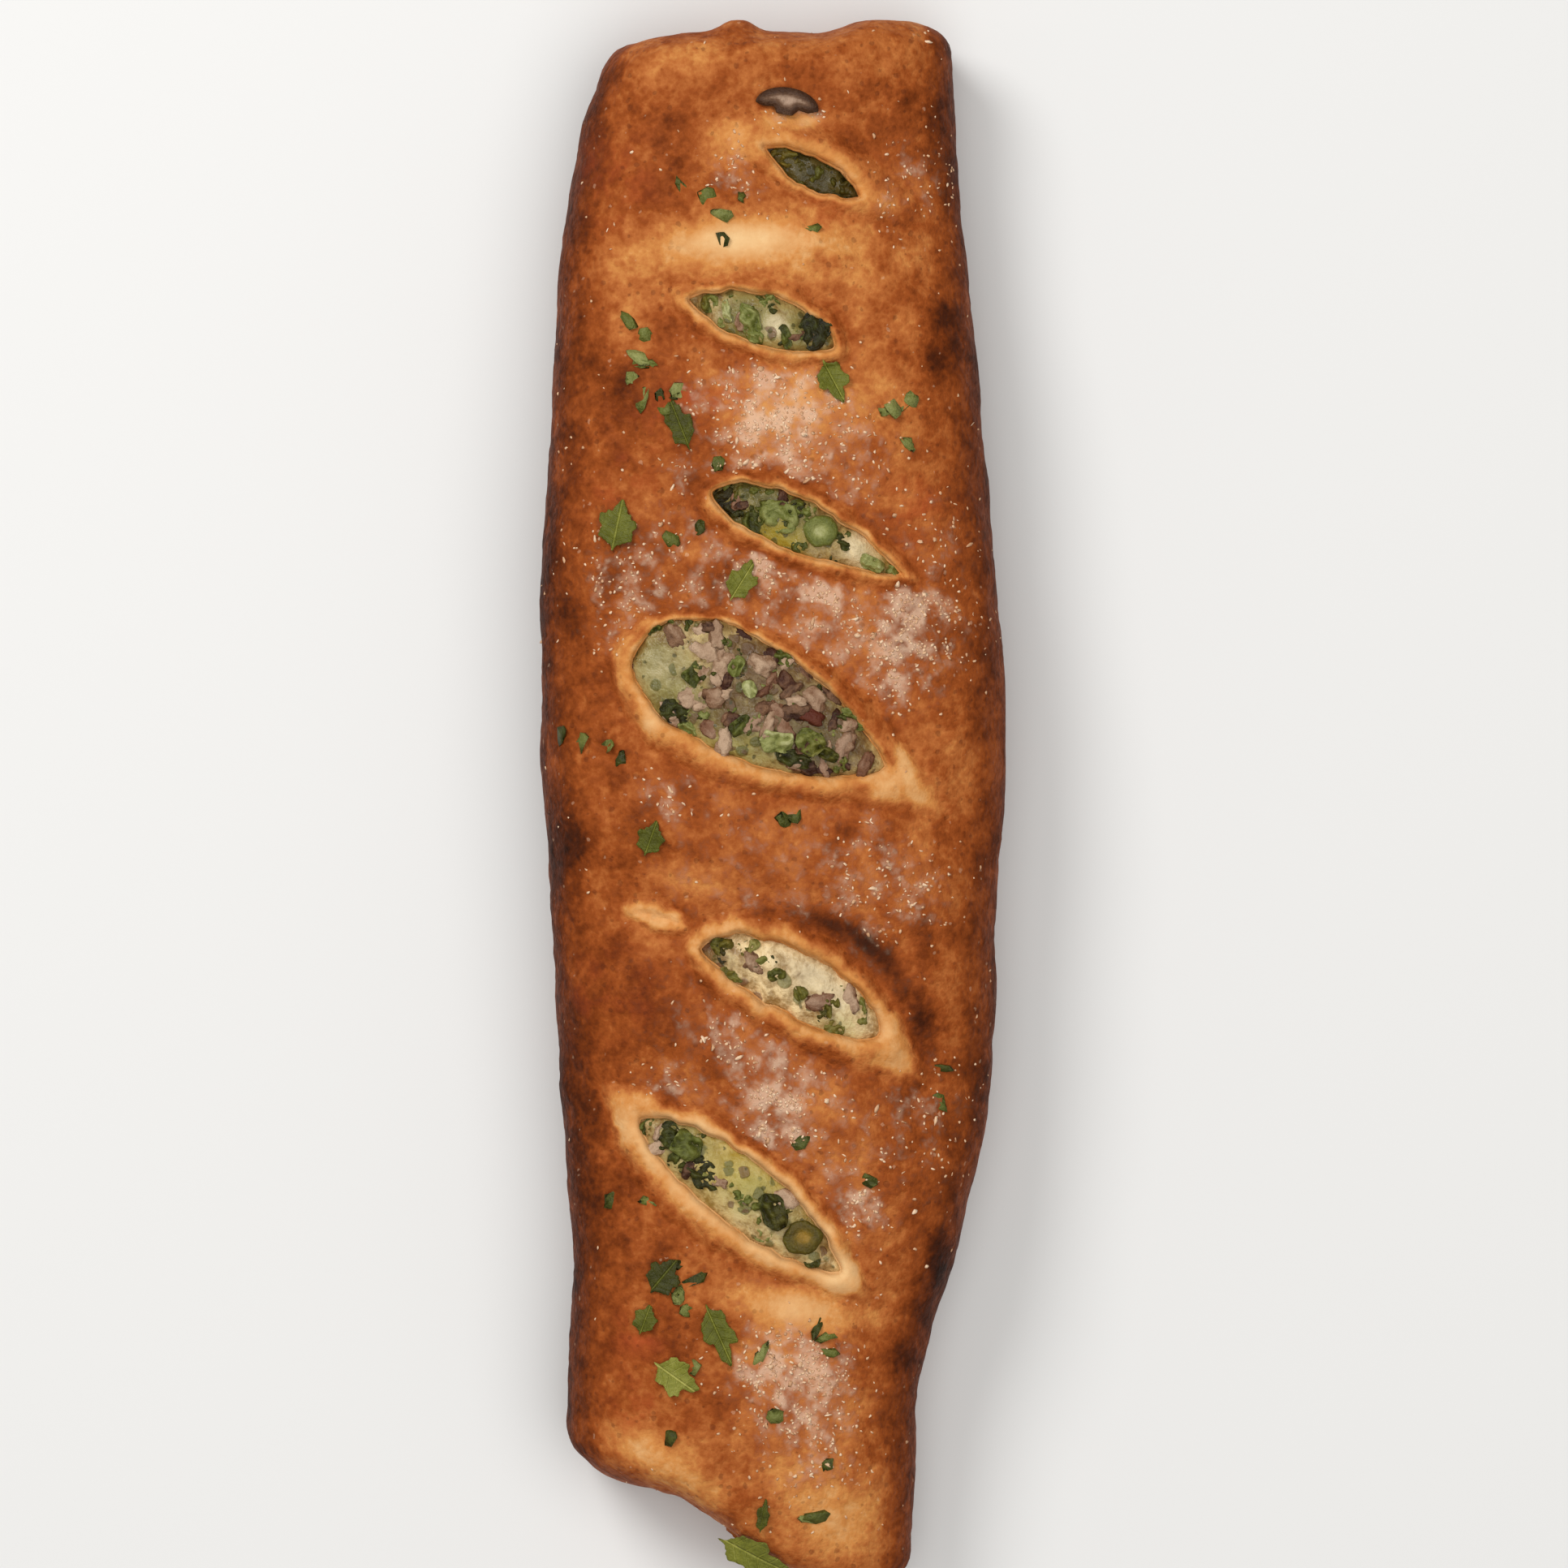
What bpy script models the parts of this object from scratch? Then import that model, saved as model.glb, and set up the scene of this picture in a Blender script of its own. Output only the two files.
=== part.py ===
"""A baked stromboli: a long rolled loaf of bread dough round a filling of melted cheese, greens
and mushroom. Six slanting slashes in the top have opened in the oven and show the filling.

Metres, +Z up. The loaf lies along Y with its flat underside on Z = 0, and the middle of its
bounding box is over the origin. +Y is the far end, the upper one when seen from above.

The crust is a shell: an outer body with lips, parsley and cheese fused on, less a cavity and
six slash cutters. The filling runs through it and rises into the slashes. Large parsley leaves
and a mushroom slice lie on top as pieces of their own.
"""

import math
import random
from collections import namedtuple

import bmesh
import bpy
from mathutils import Matrix, Vector
from mathutils.bvhtree import BVHTree

# Driving sizes of the loaf
LENGTH = 0.3245
HEIGHT = 0.044
WALL = 0.005  # crust thickness over, beside and under the filling
END_WALL = 0.012  # dough tucked in behind each end
GAP = 0.0004  # between the filling and the crust that holds it
LEAF_GAP = 0.0004  # under a loose leaf
SEAT_REACH = 0.0012  # a leaf clears whatever stands up within this distance

# Plan of the loaf: share of the length from the far end, middle line's x, half width
PLAN = (
    (0.03, 0.0007, 0.0358),
    (0.12, -0.0022, 0.0402),
    (0.25, -0.0012, 0.0437),
    (0.37, -0.0011, 0.0467),
    (0.46, 0.0002, 0.0475),
    (0.56, 0.0003, 0.0457),
    (0.68, 0.0003, 0.0437),
    (0.77, -0.0018, 0.0399),
    (0.86, -0.0058, 0.0361),
    (0.96, -0.0074, 0.0354),
)
# Height along the loaf, as a share of HEIGHT
RISE = ((0.0, 0.74), (0.12, 0.86), (0.32, 0.97), (0.5, 1.0), (0.7, 0.95), (0.88, 0.84), (1.0, 0.70))

# Cross-section
WAIST = 0.40  # height of the widest line, as a share of the height there
ROUNDNESS = 2.5  # superellipse exponent: 2 is an ellipse, more is boxier
FOOT_DROP = 0.0030  # how far the lower curve runs under the floor before it is cut flat
CAP_LENGTH = 0.010  # length over which each end rounds off
CAP_ROUNDNESS = 3.2

# Far end: straight, with the right-hand corner standing out as an ear
EAR_REACH = 0.0033
EAR_FROM, EAR_TO = 0.22, 0.58  # across the loaf, -1 to 1
# Near end: how far back it runs, across the loaf from its left corner to its right one
SLANT = (
    (-1.0, 0.0262),
    (-0.65, 0.0226),
    (-0.37, 0.0209),
    (-0.18, 0.0171),
    (0.1, 0.0098),
    (0.31, 0.0050),
    (0.55, 0.0016),
    (0.8, 0.0),
    (1.0, 0.0008),
)

# Folded ends: a crease where the dough is tucked under
CREASE_DEPTH = 0.0022
CREASE_WIDTH = 0.0028
CREASE_RISE = 0.30  # height of the crease, as a share of the height

# A lens is the plan of a slash's opening or of the rim round its lips. It has two tips, and
# an upper and a lower edge that bulge from the line between them. low and high shape an edge
# at its left and right tips: 0.5 is blunt, 1 is pointed. All lengths are in millimetres.
Lens = namedtuple("Lens", "left_x left_y right_x right_y up up_left up_right down down_left down_right")
SLASHES = {
    "first": (
        Lens(-2.1, 134.5, 17.5, 124.1, 2.8, 0.95, 0.95, 3.0, 1.0, 0.95),
        Lens(-11.4, 138.9, 30.5, 119.6, 8.2, 0.60, 0.90, 6.1, 0.80, 0.80),
    ),
    "second": (
        Lens(-17.5, 103.3, 12.4, 93.3, 6.0, 0.75, 0.60, 4.3, 0.80, 0.75),
        Lens(-21.5, 105.6, 15.0, 91.3, 9.2, 0.90, 0.60, 6.9, 0.65, 0.75),
    ),
    "third": (
        Lens(-12.7, 64.1, 26.3, 47.1, 6.1, 0.65, 1.05, 4.6, 0.55, 0.85),
        Lens(-15.2, 64.1, 29.7, 46.1, 8.8, 0.60, 0.90, 7.1, 0.50, 0.70),
    ),
    "fourth": (
        Lens(-28.2, 31.2, 22.7, 8.1, 13.2, 0.45, 0.85, 11.1, 0.50, 0.70),
        Lens(-32.8, 31.2, 34.3, -2.4, 18.0, 0.50, 0.80, 14.2, 0.70, 1.50),
    ),
    "fifth": (
        Lens(-14.9, -29.0, 21.4, -46.3, 8.4, 0.55, 0.60, 4.4, 0.70, 0.50),
        Lens(-17.5, -27.7, 30.7, -56.9, 13.4, 0.50, 0.75, 7.0, 0.50, 0.95),
    ),
    "sixth": (
        Lens(-27.2, -63.6, 13.7, -94.5, 7.3, 0.75, 0.85, 6.1, 0.60, 0.60),
        Lens(-34.5, -56.3, 19.4, -101.1, 10.3, 1.00, 0.80, 12.4, 0.80, 1.10),
    ),
}
# A small nick that opened no deeper than the skin
NICKS = {
    "nick": (
        Lens(-28.0, -21.5, -18.5, -24.0, 0.8, 0.60, 0.60, 0.8, 0.60, 0.60),
        Lens(-31.0, -20.2, -17.2, -25.0, 3.0, 0.60, 0.60, 2.6, 0.60, 0.60),
    ),
}
MM = 0.001
LIP_RADII = (0.0011, 0.0030)
LIP_HEIGHT = 0.78  # a lip's height, as a share of its width
LIP_SINK = 0.0006  # lip's middle below the skin
WALL_TAPER = 0.0008  # the opening narrows by this much at its foot
PILLOW_RISE = 0.0011  # crust puffs up away from the slashes
PILLOW_REACH = 0.011

# Filling
MOUND_DROP = 0.0030  # filling's top below the skin in a slash
MOUND_GAP = 0.0007  # round the mound, to the opening's wall
LUMP_CLEARANCE = 0.0009
LUMP_RADII = (0.0016, 0.0034)
LUMPS_PER_SLASH = {"first": 3, "second": 5, "third": 6, "fourth": 13, "fifth": 6, "sixth": 6}

# Small parsley flakes: patches of x, y, radius, count
FLAKE_PATCHES = (
    (-0.0120, 0.1190, 0.0080, 4),
    (0.0020, 0.1130, 0.0080, 2),
    (-0.0270, 0.0900, 0.0070, 4),
    (-0.0190, 0.0700, 0.0090, 4),
    (-0.0240, 0.0560, 0.0060, 2),
    (0.0120, 0.0990, 0.0030, 1),
    (0.0260, 0.0960, 0.0040, 1),
    (-0.0300, 0.0060, 0.0090, 3),
    (0.0050, 0.0000, 0.0050, 2),
    (0.0180, -0.0700, 0.0090, 3),
    (-0.0290, -0.0770, 0.0050, 2),
    (-0.0180, -0.1020, 0.0080, 4),
    (0.0110, -0.1110, 0.0070, 4),
    (-0.0210, -0.1250, 0.0060, 2),
    (0.0075, -0.1310, 0.0060, 2),
)
FLAKE_LENGTHS = (0.0032, 0.0058)
FLAKE_THICKNESS = 0.0010
FLAKE_SINK = 0.0005
FLAKE_CORNERS = 6

# Larger grains of grated cheese: patches of x, y, radius, count
GRAIN_PATCHES = (
    (0.0025, 0.0775, 0.0110, 10),
    (0.0260, 0.0370, 0.0120, 11),
    (0.0090, 0.0425, 0.0060, 3),
    (0.0190, -0.0140, 0.0110, 7),
    (0.0030, -0.0600, 0.0110, 7),
    (0.0180, -0.0790, 0.0070, 5),
    (0.0040, -0.1150, 0.0110, 7),
    (-0.0230, 0.0020, 0.0100, 3),
    (-0.0200, -0.0420, 0.0100, 4),
    (-0.0060, 0.1180, 0.0080, 3),
)
GRAIN_RADII = (0.0008, 0.0013)

# Loose leaves, each a piece of its own: x, y, length, width, heading in degrees
LEAVES = (
    (-0.0318, 0.0572, 0.0108, 0.0080, 78.0),
    (0.0122, 0.0865, 0.0098, 0.0066, -62.0),
    (-0.0064, 0.0458, 0.0096, 0.0060, 58.0),
    (-0.0190, 0.0775, 0.0110, 0.0056, 112.0),
    (-0.0250, -0.0065, 0.0078, 0.0060, 70.0),
    (-0.0225, -0.0955, 0.0088, 0.0072, 50.0),
    (-0.0112, -0.1075, 0.0138, 0.0066, -66.0),
    (-0.0200, -0.1162, 0.0108, 0.0078, -35.0),
    (-0.0262, -0.1045, 0.0066, 0.0052, 70.0),
    (-0.0022, -0.1445, 0.0074, 0.0028, 80.0),
    (-0.0040, -0.1528, 0.0165, 0.0072, -27.0),
)
LEAF_THICKNESS = 0.0006
LEAF_CURL = 0.0010
LEAF_DROOP = 0.55  # how steeply a leaf may fall where nothing holds it up
LEAF_STEPS_LONG, LEAF_STEPS_WIDE = 7, 2

# A slice of mushroom that lies against the first slash: x, y, heading, size
MUSHROOM = (0.0028, 0.1432, -6.0)
MUSHROOM_LENGTH, MUSHROOM_WIDTH, MUSHROOM_THICKNESS = 0.0130, 0.0064, 0.0024

# Lumps of dough and browned cheese stuck to the outside: x, y, z, radii
NUBS = (
    (-0.0072, 0.1577, 0.0215, 0.0052, 0.0026, 0.0026),
    (-0.0374, 0.1380, 0.0170, 0.0020, 0.0026, 0.0020),
    (-0.0462, 0.0120, 0.0150, 0.0020, 0.0028, 0.0020),
    (0.0444, -0.0375, 0.0170, 0.0016, 0.0018, 0.0016),
)

# How finely the faceted solids are divided
AROUND, ALONG, CAP_RINGS = 32, 44, 4
CAVITY_AROUND, CAVITY_ALONG, CAVITY_CAP_RINGS = 16, 18, 2
SECTION_SAMPLES = 720
LOWER_SIDE_DENSITY = 0.45  # points per length under the waist, against those over it
LIP_STEPS, LIP_SIDES = 12, 6
LENS_STEPS = 10
SEED = 41

COLOURS = {
    "crust": ((0.36, 0.125, 0.045), 0.45),
    "filling": ((0.55, 0.48, 0.26), 0.35),
    "parsley": ((0.07, 0.14, 0.02), 0.55),
    "mushroom": ((0.26, 0.19, 0.14), 0.50),
}


def clear_scene():
    for obj in list(bpy.data.objects):
        bpy.data.objects.remove(obj)


def smoothstep(low, high, value):
    share = min(1.0, max(0.0, (value - low) / (high - low)))
    return share * share * (3.0 - 2.0 * share)


def along_stations(stations, share, column=1):
    """A smooth curve through one column of a table of stations."""
    if share <= stations[0][0]:
        return stations[0][column]
    if share >= stations[-1][0]:
        return stations[-1][column]
    right = next(i for i, row in enumerate(stations) if row[0] >= share)
    left = right - 1
    before, after = max(left - 1, 0), min(right + 1, len(stations) - 1)
    step = stations[right][0] - stations[left][0]
    rise_left = stations[right][column] - stations[before][column]
    rise_left *= step / (stations[right][0] - stations[before][0])
    rise_right = stations[after][column] - stations[left][column]
    rise_right *= step / (stations[after][0] - stations[left][0])
    t = (share - stations[left][0]) / step
    return (
        (2 * t**3 - 3 * t**2 + 1) * stations[left][column]
        + (t**3 - 2 * t**2 + t) * rise_left
        + (3 * t**2 - 2 * t**3) * stations[right][column]
        + (t**3 - t**2) * rise_right
    )


def share_from_far_end(y):
    return 0.5 - y / LENGTH


def middle_line(y):
    return along_stations(PLAN, share_from_far_end(y), 1)


def half_width(y):
    return along_stations(PLAN, share_from_far_end(y), 2)


def crown_height(y):
    return HEIGHT * along_stations(RISE, share_from_far_end(y))


def far_end(across):
    return LENGTH / 2 - EAR_REACH * smoothstep(EAR_TO, EAR_FROM, across)


def near_end(across):
    return -LENGTH / 2 + along_stations(SLANT, across)


def lens_frame(lens):
    """Middle of a lens, half its length, and the unit vectors along it and across it."""
    left = Vector((lens.left_x, lens.left_y)) * MM
    right = Vector((lens.right_x, lens.right_y)) * MM
    along = (right - left).normalized()
    return (left + right) / 2, (right - left).length / 2, along, Vector((-along.y, along.x))


def lens_width(lens, t, side):
    """How far a lens's upper (side 1) or lower (side -1) edge bulges, for t from -1 to 1."""
    bulge = lens.up if side > 0 else lens.down
    left = lens.up_left if side > 0 else lens.down_left
    right = lens.up_right if side > 0 else lens.down_right
    if abs(t) >= 1.0:
        return 0.0
    widest = (left - right) / (left + right)
    peak = (1 + widest) ** left * (1 - widest) ** right
    return bulge * MM * (1 + t) ** left * (1 - t) ** right / peak


def lens_point(lens, t, side, inset=0.0):
    middle, half_long, along, across = lens_frame(lens)
    width = max(0.0, lens_width(lens, t, side) - inset)
    return middle + along * (t * half_long) + across * (side * width)


def distance_outside(lens, x, y):
    """Distance outward from a lens's edge, negative inside it, close enough for relief."""
    middle, half_long, along, across = lens_frame(lens)
    offset = Vector((x, y)) - middle
    u, v = offset.dot(along), offset.dot(across)
    if abs(u) < half_long:
        return abs(v) - lens_width(lens, u / half_long, v)
    return math.hypot(abs(u) - half_long, v)


def nearest_slash(x, y):
    return min(distance_outside(rim, x, y) for _, rim in SLASHES.values())


def pillow(x, y):
    """The crust puffs up between the slashes and pulls down beside them."""
    away = max(0.0, nearest_slash(x, y)) / PILLOW_REACH
    return PILLOW_RISE * (1.0 - 2.0 * math.exp(-away * away))


def skin_height(x, y):
    """Height of the crust's top over a point of the plan."""
    across = min(0.995, abs(x - middle_line(y)) / half_width(y))
    crown = crown_height(y)
    waist = WAIST * crown
    rise = (1.0 - across**ROUNDNESS) ** (1.0 / ROUNDNESS)
    return waist + (crown - waist) * rise + pillow(x, y) * rise


def section_points(count):
    """The cross-section at unit size, as (across, up) pairs, closer together over the waist."""
    power = 2.0 / ROUNDNESS
    fine = []
    for i in range(SECTION_SAMPLES):
        angle = 2 * math.pi * i / SECTION_SAMPLES - math.pi / 2
        c, s = math.cos(angle), math.sin(angle)
        fine.append(
            (math.copysign(abs(c) ** power, c), math.copysign(abs(s) ** power, s))
        )
    travelled = [0.0]
    for i in range(SECTION_SAMPLES):
        a, b = fine[i], fine[(i + 1) % SECTION_SAMPLES]
        step = math.hypot(b[0] - a[0], (b[1] - a[1]) * HEIGHT / (2 * PLAN[4][2]))
        density = 1.0 if a[1] + b[1] > -0.2 else LOWER_SIDE_DENSITY
        travelled.append(travelled[-1] + step * density)
    points, i = [], 0
    for k in range(count):
        wanted = travelled[-1] * k / count
        while travelled[i + 1] < wanted:
            i += 1
        points.append(fine[i])
    return points


def end_crease(point, from_end):
    """How far the fold's crease pulls the surface in, near an end."""
    crown = crown_height(point.y)
    height = crown * (CREASE_RISE + 0.05 * math.sin(point.x * 95.0))
    near_crease = math.exp(-(((point.z - height) / CREASE_WIDTH) ** 2))
    return CREASE_DEPTH * near_crease * smoothstep(0.020, 0.004, from_end)


def body_rings(inset, end_inset, around, along, cap_rings, relief):
    """Rings of points from the far end to the near end, and the two end points."""
    section = section_points(around)
    steps = []
    for i in range(1, cap_rings + 1):
        angle = math.pi / 2 * i / (cap_rings + 1)
        cap = 1.0 - math.cos(angle) ** (2.0 / CAP_ROUNDNESS)
        scale = math.sin(angle) ** (2.0 / CAP_ROUNDNESS)
        steps.append((CAP_LENGTH * cap, scale))
    reversed_steps = list(reversed(steps))
    rings = []
    total = 2 * cap_rings + along + 1
    for k in range(total):
        ring = []
        for side, up in section:
            if k < cap_rings:
                offset, scale = steps[k]
            elif k >= total - cap_rings:
                offset, scale = reversed_steps[k - (total - cap_rings)]
            else:
                offset, scale = CAP_LENGTH, 1.0
            across = side * scale
            far = far_end(across) - end_inset
            near = near_end(across) + end_inset
            if k < cap_rings:
                y = far - offset
            elif k >= total - cap_rings:
                y = near + offset
            else:
                share = (k - cap_rings) / along
                y = far - CAP_LENGTH + share * (near - far + 2 * CAP_LENGTH)
            ring.append(surface_point(across, up * scale, y, far, near, inset, relief))
        rings.append(ring)
    ends = []
    for end, sign in ((far_end(0.0) - end_inset, 1.0), (near_end(0.0) + end_inset, -1.0)):
        ends.append(Vector((middle_line(end), end, WAIST * crown_height(end))))
    return rings, ends


def surface_point(across, up, y, far, near, inset, relief):
    crown = crown_height(y)
    waist = WAIST * crown
    x = middle_line(y) + across * (half_width(y) - inset)
    if up > 0.0:
        z = waist + up * (crown - waist - inset)
        if relief:
            z += up * pillow(x, y)
    else:
        z = max(inset, waist + up * (waist + FOOT_DROP - inset))
    point = Vector((x, y, z))
    if relief:
        from_end = min(far - y, y - near)
        point.y -= math.copysign(end_crease(point, from_end), y)
    return point


def rings_to_mesh(name, rings, ends):
    """A closed mesh from rings of points and the point beyond each end ring."""
    mesh = bpy.data.meshes.new(name)
    bm = bmesh.new()
    loops = [[bm.verts.new(point) for point in ring] for ring in rings]
    tips = [bm.verts.new(point) for point in ends]
    count = len(rings[0])
    for first, second in zip(loops, loops[1:]):
        for i in range(count):
            j = (i + 1) % count
            bm.faces.new((first[i], first[j], second[j], second[i]))
    for loop, tip in ((loops[0], tips[0]), (loops[-1], tips[1])):
        for i in range(count):
            bm.faces.new((loop[i], loop[(i + 1) % count], tip))
    bmesh.ops.recalc_face_normals(bm, faces=bm.faces)
    bm.to_mesh(mesh)
    bm.free()
    return mesh


def add_object(name, mesh, collection=None):
    obj = bpy.data.objects.new(name, mesh)
    (collection or bpy.context.scene.collection).objects.link(obj)
    return obj


def helper_collection(name):
    collection = bpy.data.collections.new(name)
    bpy.context.scene.collection.children.link(collection)
    return collection


def principled(slot):
    colour, roughness = COLOURS[slot]
    material = bpy.data.materials.new(slot)
    material.use_nodes = True
    shader = material.node_tree.nodes["Principled BSDF"]
    shader.inputs["Base Color"].default_value = (*colour, 1.0)
    shader.inputs["Roughness"].default_value = roughness
    shader.inputs["Metallic"].default_value = 0.0
    return material


def body_mesh(name, inset, end_inset, around, along, cap_rings, relief=False):
    rings, ends = body_rings(inset, end_inset, around, along, cap_rings, relief)
    return rings_to_mesh(name, rings, ends)


def lip_tube(name, slash, side, collection):
    """One lip of a slash: a tube between its opening and its rim that thins towards both tips."""
    opening, rim = slash
    spots = []
    for k in range(LIP_STEPS + 2):
        t = -0.985 + 1.97 * (k - 0.5) / LIP_STEPS
        t = min(0.99, max(-0.99, t))
        inner, outer = lens_point(opening, t, side), lens_point(rim, t, side)
        swell = 0.5 + 0.5 * (1.0 - t * t) ** 0.5
        half_wide = min(LIP_RADII[1], max(LIP_RADII[0], (outer - inner).length / 2)) * swell
        spots.append(((inner + outer) / 2, half_wide))
    rings = []
    for before, (spot, half_wide), after in zip(spots, spots[1:], spots[2:]):
        direction = (after[0] - before[0]).normalized()
        outward = Vector((-direction.y, direction.x, 0.0))
        middle = Vector((spot.x, spot.y, skin_height(spot.x, spot.y) - LIP_SINK))
        ring = []
        for i in range(LIP_SIDES):
            angle = 2 * math.pi * i / LIP_SIDES
            lift = Vector((0, 0, half_wide * LIP_HEIGHT * math.sin(angle)))
            ring.append(middle + outward * (half_wide * math.cos(angle)) + lift)
        rings.append(ring)
    ends = [sum(ring, Vector()) / LIP_SIDES for ring in (rings[0], rings[-1])]
    return add_object(name, rings_to_mesh(name, rings, ends), collection)


def lens_prism(name, lens, levels, collection):
    """A closed prism on a lens. levels holds (inset, height over the skin) pairs."""
    rings = []
    for inset, height in levels:
        wide = [i / 200 for i in range(-199, 200) if lens_room(lens, i / 200) > 2 * inset + 0.0004]
        ring = []
        for side in (1, -1):
            for k in range(LENS_STEPS):
                turn = math.cos(math.pi * k / LENS_STEPS)
                t = (wide[0] + wide[-1]) / 2 - side * (wide[-1] - wide[0]) / 2 * turn
                spot = lens_point(lens, t, side, inset)
                ring.append(Vector((spot.x, spot.y, skin_height(spot.x, spot.y) + height)))
        rings.append(ring)
    ends = [sum(ring, Vector()) / len(ring) for ring in (rings[0], rings[-1])]
    return add_object(name, rings_to_mesh(name, rings, ends), collection)


def lens_room(lens, t):
    """Full width of a lens."""
    return lens_width(lens, t, 1) + lens_width(lens, t, -1)


def skin_frame(x, y):
    """A point on the crust's top, and a matrix whose Z is the skin's normal there."""
    step = 0.001
    point = Vector((x, y, skin_height(x, y)))
    slope_x = (skin_height(x + step, y) - skin_height(x - step, y)) / (2 * step)
    slope_y = (skin_height(x, y + step) - skin_height(x, y - step)) / (2 * step)
    normal = Vector((-slope_x, -slope_y, 1.0)).normalized()
    turn = normal.to_track_quat("Z", "Y").to_matrix().to_4x4()
    return point, Matrix.Translation(point) @ turn


def flake(name, x, y, length, heading, draw, collection):
    """A small leaf flake pressed on the skin: a thin uneven plate."""
    _, frame = skin_frame(x, y)
    bm = bmesh.new()
    low_ring, high_ring = [], []
    for i in range(FLAKE_CORNERS):
        angle = 2 * math.pi * i / FLAKE_CORNERS
        reach = draw.uniform(0.75, 1.1)
        along = length / 2 * reach * math.cos(angle)
        across = length * 0.32 * reach * math.sin(angle)
        spot = Matrix.Rotation(heading, 3, "Z") @ Vector((along, across, 0.0))
        lift = draw.uniform(0.0, 0.0004)
        low_ring.append(bm.verts.new(frame @ (spot + Vector((0, 0, -FLAKE_SINK)))))
        top = Vector((0, 0, FLAKE_THICKNESS - FLAKE_SINK + lift))
        high_ring.append(bm.verts.new(frame @ (spot * 0.94 + top)))
    low_middle = bm.verts.new(frame @ Vector((0, 0, -FLAKE_SINK)))
    high_middle = bm.verts.new(frame @ Vector((0, 0, FLAKE_THICKNESS - FLAKE_SINK)))
    for i in range(FLAKE_CORNERS):
        j = (i + 1) % FLAKE_CORNERS
        bm.faces.new((low_ring[i], low_ring[j], high_ring[j], high_ring[i]))
        bm.faces.new((high_ring[i], high_ring[j], high_middle))
        bm.faces.new((low_ring[j], low_ring[i], low_middle))
    bmesh.ops.recalc_face_normals(bm, faces=bm.faces)
    mesh = bpy.data.meshes.new(name)
    bm.to_mesh(mesh)
    bm.free()
    return add_object(name, mesh, collection)


def lump(name, place, radii, turn, subdivisions, draw, collection):
    """An uneven rounded lump: an icosphere with each point pushed in or out a little."""
    bm = bmesh.new()
    bmesh.ops.create_icosphere(bm, subdivisions=subdivisions, radius=1.0)
    for vert in bm.verts:
        vert.co *= draw.uniform(0.86, 1.10)
        vert.co = Vector(vert.co[i] * radii[i] for i in range(3))
    bm.transform(Matrix.Translation(place) @ turn.to_4x4())
    mesh = bpy.data.meshes.new(name)
    bm.to_mesh(mesh)
    bm.free()
    return add_object(name, mesh, collection)


def patch_spots(patches, clearance, draw):
    """Spots spread evenly over round patches, clear of the slashes, leaves and each other."""
    spots = []
    golden = math.pi * (3.0 - math.sqrt(5.0))
    for x, y, radius, count in patches:
        turn = draw.uniform(0.0, 2 * math.pi)
        for i in range(count):
            reach = radius * math.sqrt((i + 0.5) / count) * draw.uniform(0.85, 1.15)
            spot_x = x + reach * math.cos(turn + golden * i)
            spot_y = y + reach * math.sin(turn + golden * i)
            if is_clear(spot_x, spot_y, clearance, spots):
                spots.append((spot_x, spot_y))
    return spots


def is_clear(x, y, clearance, taken):
    if nearest_slash(x, y) < clearance:
        return False
    if abs(x - middle_line(y)) > 0.88 * half_width(y):
        return False
    if any(math.hypot(x - leaf[0], y - leaf[1]) < leaf[2] * 0.62 + clearance for leaf in LEAVES):
        return False
    if math.hypot(x - MUSHROOM[0], y - MUSHROOM[1]) < MUSHROOM_LENGTH * 0.6 + clearance:
        return False
    return all(math.hypot(x - a, y - b) > 1.7 * clearance for a, b in taken)


def make_flakes(collection, draw):
    spots = patch_spots(FLAKE_PATCHES, 0.0026, draw)
    for i, (x, y) in enumerate(spots):
        length = draw.uniform(*FLAKE_LENGTHS)
        flake(f"flake_{i}", x, y, length, draw.uniform(0, math.pi), draw, collection)
    return spots


def make_grains(collection, draw, flakes):
    spots = patch_spots(GRAIN_PATCHES, 0.0013, draw)
    apart = FLAKE_LENGTHS[1] / 2 + GRAIN_RADII[1]
    kept = [s for s in spots if all(math.dist(s, f) > apart for f in flakes)]
    for i, (x, y) in enumerate(kept):
        radius = draw.uniform(*GRAIN_RADII)
        place = Vector((x, y, skin_height(x, y) + 0.2 * radius))
        turn = Matrix.Rotation(draw.uniform(0, math.pi), 3, "Z")
        radii = (radius * 1.3, radius, radius * 0.9)
        grain = lump(f"grain_{i}", place, radii, turn, 1, draw, collection)
        reduce_to_few_faces(grain)


def reduce_to_few_faces(obj):
    """Turns a 20-sided lump into one of about 12 sides by joining its shortest edges."""
    bm = bmesh.new()
    bm.from_mesh(obj.data)
    for _ in range(4):
        shortest = min(bm.edges, key=lambda edge: edge.calc_length())
        bmesh.ops.collapse(bm, edges=[shortest])
    bmesh.ops.triangulate(bm, faces=bm.faces)
    bm.to_mesh(obj.data)
    bm.free()


def make_nubs(collection, draw):
    for i, (x, y, z, *radii) in enumerate(NUBS):
        lump(f"nub_{i}", Vector((x, y, z)), radii, Matrix.Identity(3), 2, draw, collection)


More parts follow.
